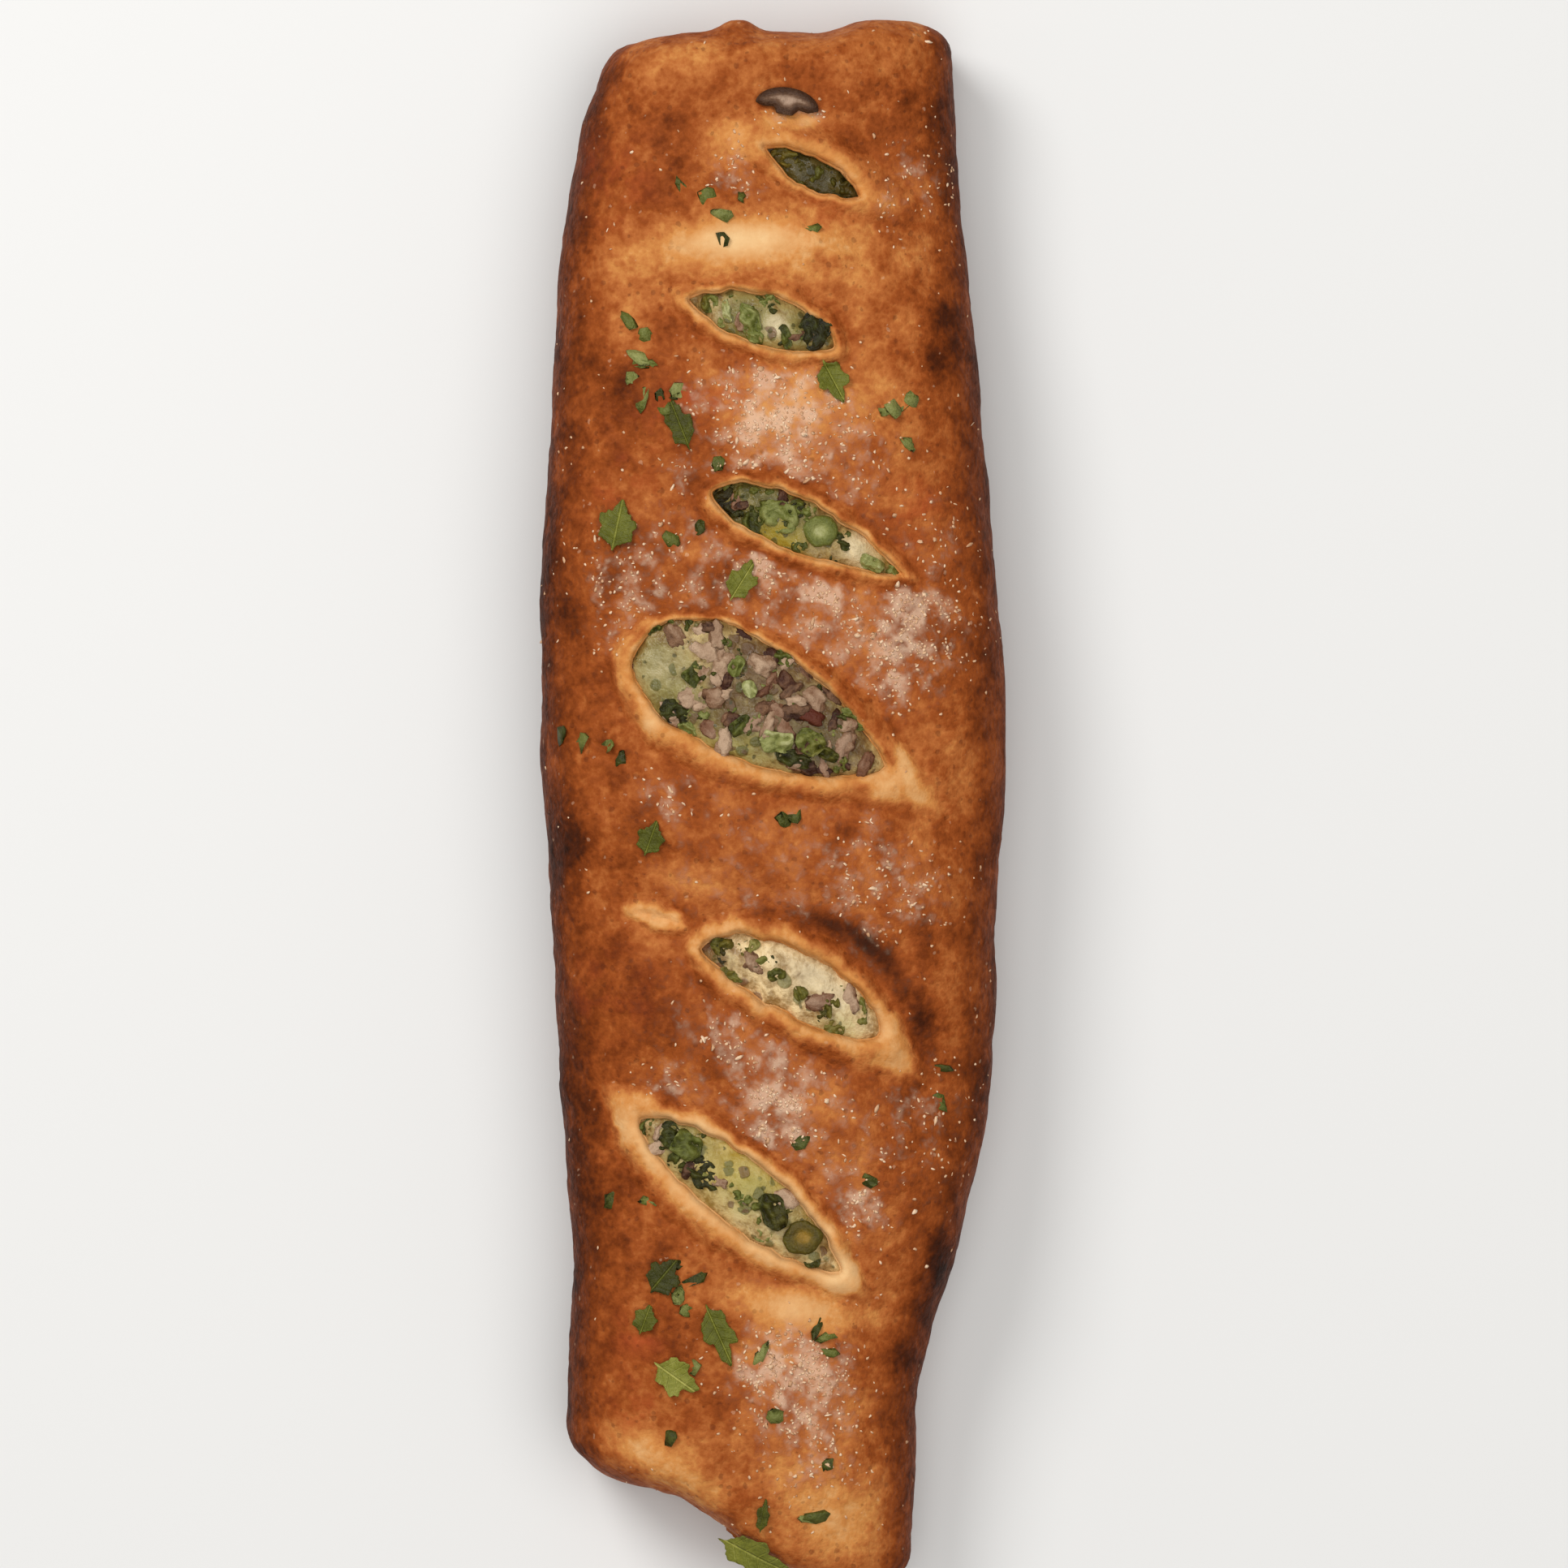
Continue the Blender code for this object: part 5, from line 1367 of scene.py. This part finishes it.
# Mushroom slice over the first slash
mushroom = {
    "place": (2.8, 143.2),
    "turn": -9,
    "length": 13.0,
    "width": 6.4,
    "thickness": 1.8,
    "gap": 0.15,
    "seatReach": 0.4,
    "step": 0.5,
    "margin": 0.28,
    "seed": 5,
    # outline of the stem, as shares of the length and width
    "stem": [(-0.36, -0.2), (-0.2, -0.16), (-0.15, -0.36), (0.1, -0.38), (0.19, -0.17), (0.34, -0.22)],
}


def mushroomOutline():
    # half a mushroom cut lengthwise: a domed cap over a short stem
    angle = np.linspace(0, math.pi, 40)
    cap = np.column_stack((mushroom["length"] / 2 * np.cos(angle), 0.62 * np.sin(angle) - 0.12))
    outline = np.vstack((cap, np.array(mushroom["stem"]) * (mushroom["length"], 1.0)))
    return (outline * (1.0, mushroom["width"]))[::-1]


def makeMushroom():
    outline = evenOutline(mushroomOutline(), mushroom["step"])
    draw = np.random.default_rng(mushroom["seed"])
    plan, faces = fillOutline(outline, insidePoints(outline, mushroom["step"], mushroom["margin"], draw))
    inside = -edgeDistance(outline, plan[:, 0], plan[:, 1])
    turned = turnedTo(plan, *mushroom["place"], mushroom["turn"])
    under = np.array([ground.seat(x, y, mushroom["seatReach"]) for x, y in turned]) + mushroom["gap"]
    rise = mushroom["thickness"] * (0.55 + 0.45 * smoothstep(0.0, 0.9, inside))
    rise += 0.22 * fieldNoise(flatPoints(*turned.T), 2.2, 2, 9.1) - 0.35 * smoothstep(0.9, 2.0, inside)
    points, solid = plateSolid(turned, faces, under + rise, under)
    core = smoothstep(0.7, 2.4, inside) * smoothstep(-3.6, 0.4, plan[:, 1])
    part = {"points": points, "faces": solid, "values": {"tone": np.tile(core, 2)}}
    return makeObject("mushroomSlice", joinParts("mushroomSlice", [part]))


mushroomPiece = makeMushroom()
print("mushroom slice made")


# Materials
def linear(red, green, blue):
    # a colour picked as 0 to 255 screen values, as the light values that nodes use
    values = [part / 255 for part in (red, green, blue)]
    return tuple(v / 12.92 if v <= 0.04045 else ((v + 0.055) / 1.055) ** 2.4 for v in values) + (1.0,)


def newMaterial(name):
    material = bpy.data.materials.new(name)
    material.use_nodes = True
    return material, material.node_tree


def put(tree, kind, settings=None, **inputs):
    # one node, with its settings and its unlinked inputs
    node = tree.nodes.new(kind)
    for key, value in (settings or {}).items():
        setattr(node, key, value)
    for key, value in inputs.items():
        fill(tree, node, key, value)
    return node


def fill(tree, node, key, value):
    # an input by its name, or n0, n1 and so on by its number, from a socket or a constant
    socket = node.inputs[int(key[1:])] if key[0] == "n" and key[1:].isdigit() else node.inputs[key]
    if isinstance(value, bpy.types.NodeSocket):
        tree.links.new(value, socket)
    else:
        socket.default_value = value


def calculate(tree, operation, first, second=0.0, third=None, clamp=False):
    node = put(tree, "ShaderNodeMath", {"operation": operation, "use_clamp": clamp}, n0=first, n1=second)
    if third is not None:
        fill(tree, node, "n2", third)
    return node.outputs[0]


def times(tree, first, second, clamp=False):
    return calculate(tree, "MULTIPLY", first, second, clamp=clamp)


def vectorMath(tree, operation, first, second):
    node = put(tree, "ShaderNodeVectorMath", {"operation": operation}, n0=first)
    fill(tree, node, "Scale" if operation == "SCALE" else "n1", second)
    return node.outputs[0]


def mixColours(tree, share, first, second, blend="MIX"):
    kind = {"data_type": "RGBA", "blend_type": blend}
    return put(tree, "ShaderNodeMix", kind, n0=share, n6=first, n7=second).outputs[2]


def tinted(tree, colour, mask, amount, shade):
    # a screen colour laid over another one where the mask says
    return mixColours(tree, times(tree, mask, amount), colour, linear(*shade))


def ramp(tree, value, stops):
    node = put(tree, "ShaderNodeValToRGB", None, n0=value)
    elements = node.color_ramp.elements
    while len(elements) < len(stops):
        elements.new(0.5)
    for element, (place, colour) in zip(elements, stops):
        element.position = place
        element.color = linear(*colour)
    return node.outputs["Color"]


def attribute(tree, name):
    return put(tree, "ShaderNodeAttribute", {"attribute_name": name}).outputs["Fac"]


def threshold(tree, value, low, high):
    node = put(tree, "ShaderNodeMapRange", {"interpolation_type": "SMOOTHSTEP"}, Value=value)
    node.inputs["From Min"].default_value = low
    node.inputs["From Max"].default_value = high
    return node.outputs["Result"]


def newGroup(name, inputs, outputs):
    # a group with number sockets that starts from the piece's own coordinates
    group = bpy.data.node_groups.new(name, "ShaderNodeTree")
    number = "NodeSocketFloat"
    for label, value in inputs:
        group.interface.new_socket(label, in_out="INPUT", socket_type=number).default_value = value
    for label in outputs:
        group.interface.new_socket(label, in_out="OUTPUT", socket_type=number)
    given = group.nodes.new("NodeGroupInput").outputs
    result = group.nodes.new("NodeGroupOutput").inputs
    return group, given, result, put(group, "ShaderNodeTexCoord").outputs["Object"]


def makeUnevenness():
    # noise at three sizes, each centred on nought
    sizes = (("Broad size", 14.0), ("Middle size", 4.0), ("Fine size", 1.0))
    group, given, result, place = newGroup("unevenness", sizes, ("Broad", "Middle", "Fine"))
    for index, detail in enumerate((3.0, 3.0, 2.0)):
        scale = calculate(group, "DIVIDE", 1000.0, given[index])
        texture = put(group, "ShaderNodeTexNoise", {"noise_dimensions": "4D"}, Vector=place, Scale=scale)
        for key, value in (("W", 2.0 + 3.1 * index), ("Detail", detail), ("Roughness", 0.55)):
            fill(group, texture, key, value)
        group.links.new(calculate(group, "MULTIPLY_ADD", texture.outputs["Fac"], 2.0, -1.0), result[index])
    return group


def makeSpeckle():
    # small irregular spots, a few of them to each cell, as a mask
    sizes = (("Size", 1.6), ("Amount", 0.5), ("Reach", 0.18))
    group, given, result, place = newGroup("speckle", sizes, ("Mask",))
    scale = calculate(group, "DIVIDE", 1000.0, given["Size"])
    bend = put(group, "ShaderNodeTexNoise", None, Vector=place, Scale=scale)
    shifted = vectorMath(group, "ADD", place, vectorMath(group, "SCALE", bend.outputs["Color"], 1.2 * mm))
    cells = put(group, "ShaderNodeTexVoronoi", None, Vector=shifted, Scale=scale)
    chance = put(group, "ShaderNodeSeparateColor", None, n0=cells.outputs["Color"])
    chosen = calculate(group, "LESS_THAN", chance.outputs[0], given["Amount"])
    size = calculate(group, "MULTIPLY_ADD", chance.outputs[1], 0.25, given["Reach"])
    dot = times(group, calculate(group, "SUBTRACT", size, cells.outputs["Distance"]), 9.0, clamp=True)
    group.links.new(times(group, dot, chosen), result["Mask"])
    return group


unevenness, speckle = makeUnevenness(), makeSpeckle()


def putUnevenness(tree, broad, middle, fine):
    node = put(tree, "ShaderNodeGroup", {"node_tree": unevenness})
    for index, size in enumerate((broad, middle, fine)):
        node.inputs[index].default_value = size
    return node.outputs["Broad"], node.outputs["Middle"], node.outputs["Fine"]


def putSpeckle(tree, size, amount, reach):
    node = put(tree, "ShaderNodeGroup", {"node_tree": speckle}, Size=size, Amount=amount, Reach=reach)
    return node.outputs["Mask"]


def weighted(tree, start, *pairs):
    # start plus each value times its weight
    total = start
    for value, weight in pairs:
        total = calculate(tree, "MULTIPLY_ADD", value, weight, total)
    return total


def finishMaterial(material, colour, roughness, shine, height, distance, strength=0.9):
    # hands the last colour, roughness and relief to the material's shader
    tree = material.node_tree
    shader = tree.nodes["Principled BSDF"]
    bump = put(tree, "ShaderNodeBump", None, Height=height, Distance=distance * mm, Strength=strength)
    wanted = {"Base Color": colour, "Roughness": roughness, "Specular IOR Level": shine}
    for key, value in dict(wanted, Normal=bump.outputs["Normal"]).items():
        fill(tree, shader, key, value)
    return material


bakeColours = [
    (0.0, (238, 209, 163)),
    (0.14, (229, 188, 134)),
    (0.26, (216, 163, 106)),
    (0.38, (200, 133, 70)),
    (0.5, (176, 102, 50)),
    (0.62, (147, 73, 29)),
    (0.74, (114, 52, 17)),
    (0.86, (78, 34, 12)),
    (1.0, (42, 20, 11)),
]


def crustMaterial():
    material, tree = newMaterial("bakedCrust")
    broad, middle, fine = putUnevenness(tree, 20.0, 5.5, 1.2)
    patchy, grainy, _ = putUnevenness(tree, 9.0, 2.3, 0.55)
    bake = attribute(tree, "bake")
    browned = threshold(tree, bake, 0.22, 0.5)
    change = weighted(tree, 0.0, (broad, 0.14), (patchy, 0.16), (middle, 0.17), (grainy, 0.15), (fine, 0.13))
    change = times(tree, change, calculate(tree, "MULTIPLY_ADD", browned, 0.65, 0.35))
    value = calculate(tree, "ADD", bake, change, clamp=True)
    colour = ramp(tree, value, bakeColours)
    red = times(tree, attribute(tree, "red"), threshold(tree, middle, -0.2, 0.4))
    colour = tinted(tree, colour, red, 0.6, (198, 88, 50))
    pores = putSpeckle(tree, 1.7, 0.3, 0.16)
    pores = times(tree, times(tree, pores, browned), 0.35)
    colour = mixColours(tree, pores, colour, linear(78, 36, 20))
    dust = attribute(tree, "cheese")
    dots = putSpeckle(tree, 1.05, weighted(tree, 0.02, (dust, 0.6)), 0.22)
    dots = times(tree, times(tree, dots, browned), weighted(tree, 0.2, (dust, 0.5)))
    colour = mixColours(tree, dots, colour, linear(228, 192, 158))
    there = threshold(tree, attribute(tree, "haze"), 0.01, 0.3)
    haze = weighted(tree, 0.0, (attribute(tree, "haze"), 1.0), (grainy, 0.6), (fine, 0.55))
    haze = times(tree, times(tree, threshold(tree, haze, 0.0, 1.2), there), 0.72)
    colour = mixColours(tree, haze, colour, linear(216, 181, 152))
    rough = weighted(tree, 0.55, (fine, 0.16), (middle, 0.1), (dots, 0.2))
    height = weighted(tree, 0.0, (middle, 0.35), (grainy, 0.4), (fine, 0.36), (dots, 0.4), (pores, -0.3))
    height = times(tree, height, calculate(tree, "MULTIPLY_ADD", browned, 0.7, 0.3))
    return finishMaterial(material, colour, rough, 0.04, height, 0.6)


toneAndShadeColours = [(0.3, (96, 88, 60)), (0.7, (192, 188, 160)), (1.0, (255, 255, 255))]
# which tint, how the middle and fine noise sway it, where it starts and is full, amount, colour
cheeseStains = [
    ("green", (0.5, 0.3), (0.1, 0.9), 0.6, (126, 134, 66)),
    # the brown stain is partly browned filling, partly painted shade between the bits
    ("brown", (-0.6, 0.4), (0.3, 1.0), 0.7, (104, 72, 48)),
    ("white", (0.4, 0.2), (0.15, 0.85), 0.6, (202, 185, 150)),
]
# leafy, meaty and fine herb specks: which tint, size, how many at least, more by the tint, reach, amount
cheeseSpecks = [
    ("green", 2.9, 0.06, 0.4, 0.34, 0.75, (104, 104, 54)),
    ("brown", 2.7, 0.05, 0.55, 0.36, 0.75, (116, 84, 62)),
    ("green", 1.6, 0.04, 0.22, 0.26, 0.7, (66, 66, 22)),
]


def fillingMaterial():
    material, tree = newMaterial("meltedCheese")
    broad, middle, fine = putUnevenness(tree, 9.0, 2.6, 0.8)
    tone = threshold(tree, weighted(tree, 0.5, (middle, 0.7), (fine, 0.3), (broad, 0.4)), 0.2, 0.85)
    colour = mixColours(tree, tone, linear(142, 110, 62), linear(232, 204, 152))
    given = {name: attribute(tree, name) for name in fillingTints}
    for name, sway, (low, high), amount, shade in cheeseStains:
        stain = weighted(tree, given[name], (middle, sway[0]), (fine, sway[1]))
        colour = tinted(tree, colour, threshold(tree, stain, low, high), amount, shade)
    colour = tinted(tree, colour, given["yellow"], 0.85, (218, 196, 78))
    specks = []
    for name, size, base, share, reach, amount, shade in cheeseSpecks:
        specks.append(putSpeckle(tree, size, weighted(tree, base, (given[name], share)), reach))
        colour = tinted(tree, colour, specks[-1], amount, shade)
    # the cheese darkened by its opening's shade value: partly its own colour, partly painted shade in the
    # deep openings
    shade = ramp(tree, attribute(tree, "shade"), toneAndShadeColours)
    colour = mixColours(tree, 1.0, colour, shade, "MULTIPLY")
    rough = weighted(tree, 0.34, (fine, 0.1))
    height = weighted(tree, 0.0, (middle, 0.5), (fine, 0.3), (specks[0], 0.3), (specks[1], 0.4))
    return finishMaterial(material, colour, rough, 0.3, height, 0.6)


def leafMaterial(name, stops, veins):
    material, tree = newMaterial(name)
    broad, middle, fine = putUnevenness(tree, 6.0, 1.8, 0.5)
    value = weighted(tree, attribute(tree, "tone"), (broad, 0.16), (middle, 0.2), (fine, 0.12))
    height = weighted(tree, 0.0, (middle, 0.5), (fine, 0.4))
    if veins:
        across = calculate(tree, "ABSOLUTE", attribute(tree, "across"))
        slanted = calculate(tree, "MULTIPLY_ADD", across, -0.16, attribute(tree, "along"))
        wave = calculate(tree, "SINE", times(tree, slanted, 38.0))
        ribs = threshold(tree, wave, 0.86, 1.0)
        midrib = threshold(tree, across, 0.1, 0.02)
        lines = calculate(tree, "MAXIMUM", times(tree, ribs, 0.5), midrib)
        value = weighted(tree, value, (lines, 0.22))
        height = weighted(tree, height, (lines, -0.8))
    colour = ramp(tree, value, stops)
    browned = mixColours(tree, 1.0, colour, linear(255, 196, 118), "MULTIPLY")
    colour = mixColours(tree, attribute(tree, "wilted"), colour, browned)
    return finishMaterial(material, colour, weighted(tree, 0.45, (fine, 0.12)), 0.2, height, 0.4)


def choppedMaterial(name, dark, middleTone, light):
    material, tree = newMaterial(name)
    broad, middle, fine = putUnevenness(tree, 5.0, 1.6, 0.5)
    value = weighted(tree, attribute(tree, "tone"), (broad, 0.2), (middle, 0.3), (fine, 0.16))
    colour = ramp(tree, value, [(0.0, dark), (0.5, middleTone), (1.0, light)])
    colour = tinted(tree, colour, attribute(tree, "red"), 0.7, (92, 36, 18))
    height = weighted(tree, 0.0, (middle, 0.5), (fine, 0.4))
    return finishMaterial(material, colour, weighted(tree, 0.54, (fine, 0.12)), 0.2, height, 0.5)


def cheeseMaterial():
    material, tree = newMaterial("gratedCheese")
    _, middle, fine = putUnevenness(tree, 6.0, 1.6, 0.5)
    value = weighted(tree, attribute(tree, "tint"), (middle, 0.25), (fine, 0.15))
    colour = ramp(tree, value, [(0.0, (190, 142, 102)), (0.5, (214, 172, 132)), (1.0, (234, 204, 170))])
    return finishMaterial(material, colour, weighted(tree, 0.55, (fine, 0.1)), 0.5, fine, 0.15, 0.6)


greenStops = [
    (0.0, (34, 31, 10)),
    (0.25, (60, 62, 17)),
    (0.5, (98, 102, 42)),
    (0.75, (140, 141, 82)),
    (1.0, (180, 178, 128)),
]
leafStops = [
    (0.0, (38, 38, 9)),
    (0.25, (62, 62, 13)),
    (0.5, (90, 92, 24)),
    (0.75, (122, 122, 44)),
    (1.0, (166, 162, 82)),
]
materials = {
    "crust": crustMaterial(),
    "filling": fillingMaterial(),
    "greens": leafMaterial("wiltedGreens", greenStops, False),
    "leaves": leafMaterial("parsleyLeaf", leafStops, True),
    "chopped": choppedMaterial("choppedMushroom", (54, 29, 17), (124, 90, 64), (180, 150, 122)),
    "mushroom": choppedMaterial("mushroomSlice", (62, 38, 22), (104, 76, 56), (166, 138, 116)),
    "cheese": cheeseMaterial(),
}
print("materials made")


# Grated cheese and herb flakes, scattered on the crust by its own density values; sizes in
# millimetres, density per square metre
scatter = {
    "gratedCheese": {
        "Values": "cheese", "Density": 1500000.0, "Seed": 3, "flat": False,
        "Smallest": (0.16, 0.13, 0.08), "Largest": (0.6, 0.42, 0.2), "Lift": 0.04, "Wobble": 0.34,
    },
    "cheeseShreds": {
        "Values": "cheese", "Density": 40000.0, "Seed": 11, "flat": False,
        "Smallest": (0.6, 0.26, 0.16), "Largest": (1.3, 0.55, 0.28), "Lift": 0.08, "Wobble": 0.6,
    },
    "herbFlakes": {
        "Values": "herbs", "Density": 60000.0, "Seed": 5, "flat": True,
        "Smallest": (1.0, 0.7, 0.14), "Largest": (2.9, 1.7, 0.2), "Lift": 0.12, "Wobble": 1.6,
    },
}
scatterSockets = {
    "Surface": "Geometry", "Values": "String", "Density": "Float", "Smallest": "Vector", "Largest": "Vector",
    "Lift": "Float", "Wobble": "Float", "Seed": "Int", "Material": "Material",
}


def scatterTree(name, flat):
    tree = bpy.data.node_groups.new(name, "GeometryNodeTree")
    for label, kind in scatterSockets.items():
        tree.interface.new_socket(label, in_out="INPUT", socket_type="NodeSocket" + kind)
    tree.interface.new_socket("Pieces", in_out="OUTPUT", socket_type="NodeSocketGeometry")
    given = tree.nodes.new("NodeGroupInput").outputs
    seed = given["Seed"]
    values = put(tree, "GeometryNodeInputNamedAttribute", {"data_type": "FLOAT"}, Name=given["Values"])
    density = times(tree, values.outputs["Attribute"], given["Density"])
    points = put(tree, "GeometryNodeDistributePointsOnFaces", {"distribute_method": "RANDOM"}, Seed=seed)
    fill(tree, points, "Mesh", given["Surface"])
    fill(tree, points, "Density", density)
    if flat:
        fan = {"fill_type": "TRIANGLE_FAN"}
        shape = put(tree, "GeometryNodeMeshCylinder", fan, Vertices=7, Radius=1.0, Depth=2.0)
    else:
        shape = put(tree, "GeometryNodeMeshIcoSphere", None, Radius=1.0, Subdivisions=1)
    tilt = 0.35 if flat else 0.7
    vector, least, most = {"data_type": "FLOAT_VECTOR"}, (-tilt, -tilt, 0.0), (tilt, tilt, 2 * math.pi)
    turn = put(tree, "FunctionNodeRandomValue", vector, Seed=seed, n0=least, n1=most)
    spin = put(tree, "FunctionNodeEulerToRotation", None, n0=turn.outputs[0])
    local = {"rotation_space": "LOCAL"}
    facing = put(tree, "FunctionNodeRotateRotation", local, n0=points.outputs["Rotation"], n1=spin.outputs[0])
    size = put(tree, "FunctionNodeRandomValue", vector, Seed=seed, n0=given["Smallest"], n1=given["Largest"])
    placed = put(tree, "GeometryNodeInstanceOnPoints", None, Points=points.outputs[0])
    for key, node in (("Instance", shape), ("Rotation", facing), ("Scale", size)):
        fill(tree, placed, key, node.outputs[0])
    tint = put(tree, "FunctionNodeRandomValue", {"data_type": "FLOAT"}, Seed=seed)
    onEach = {"data_type": "FLOAT", "domain": "INSTANCE"}
    named = put(tree, "GeometryNodeStoreNamedAttribute", onEach, Geometry=placed.outputs[0], Name="tint")
    fill(tree, named, "Value", tint.outputs[1])
    real = put(tree, "GeometryNodeRealizeInstances", None, Geometry=named.outputs[0])
    wander = put(tree, "ShaderNodeTexNoise", None, Scale=1400.0).outputs["Color"]
    centred = vectorMath(tree, "SUBTRACT", wander, (0.5, 0.5, 0.5))
    shift = vectorMath(tree, "SCALE", centred, times(tree, given["Wobble"], 2 * mm))
    rise = put(tree, "ShaderNodeCombineXYZ", None, Z=given["Lift"]).outputs[0]
    offset = vectorMath(tree, "ADD", shift, rise)
    moved = put(tree, "GeometryNodeSetPosition", None, Geometry=real.outputs[0], Offset=offset)
    smooth = put(tree, "GeometryNodeSetShadeSmooth", None, Geometry=moved.outputs[0])
    coloured = put(tree, "GeometryNodeSetMaterial", None, Geometry=smooth.outputs[0])
    fill(tree, coloured, "Material", given["Material"])
    tree.links.new(coloured.outputs[0], tree.nodes.new("NodeGroupOutput").inputs[0])
    return tree


def scatterPiece(name, material):
    wanted = dict(scatter[name], Material=material)
    tree = scatterTree(name, wanted["flat"])
    piece = makeObject(name, crustPiece.data.copy())
    modifier = piece.modifiers.new(name, "NODES")
    modifier.node_group = tree
    for item in tree.interface.items_tree:
        if item.in_out == "INPUT" and item.name in wanted:
            value = wanted[item.name]
            inMetres = item.name in ("Smallest", "Largest", "Lift")
            modifier[item.identifier] = np.multiply(value, mm).tolist() if inMetres else value
    plainMesh(piece)
    print(name + ":", len(piece.data.polygons), "faces")
    return piece


cheesePiece = scatterPiece("gratedCheese", materials["cheese"])
shredsPiece = scatterPiece("cheeseShreds", materials["cheese"])
flakesPiece = scatterPiece("herbFlakes", materials["greens"])


# Dress each piece and hide the solids it takes the place of
def dress(piece, material, slot, *nodes):
    points = meshPoints(piece.data)
    keepInside(points, 0.03, 0.3)
    flat = (points + (planShift[0], planShift[1], 0.0)) * mm
    piece.data.vertices.foreach_set("co", flat.ravel())
    piece.data.update()
    piece.data.materials.clear()
    piece.data.materials.append(material)
    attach(piece, "root")
    if nodes:
        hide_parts(*nodes)


leafNodes = [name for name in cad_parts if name.startswith("parsley_leaf")]
shades = np.empty(len(flakesPiece.data.vertices), np.float32)
flakesPiece.data.attributes["tint"].data.foreach_get("value", shades)
storeValues(flakesPiece.data, "tone", 0.15 + 0.5 * shades)
dress(crustPiece, materials["crust"], "crust", "crust")
dress(fillingPiece, materials["filling"], "filling", "filling")
dress(greensPiece, materials["greens"], "filling")
dress(stalksPiece, materials["greens"], "filling")
dress(choppedPiece, materials["chopped"], "filling")
dress(mushroomPiece, materials["mushroom"], "mushroom", "mushroom_slice")
dress(leavesPiece, materials["leaves"], "parsley", *leafNodes)
dress(flakesPiece, materials["greens"], "parsley")
dress(cheesePiece, materials["cheese"], "cheese")
dress(shredsPiece, materials["cheese"], "cheese")
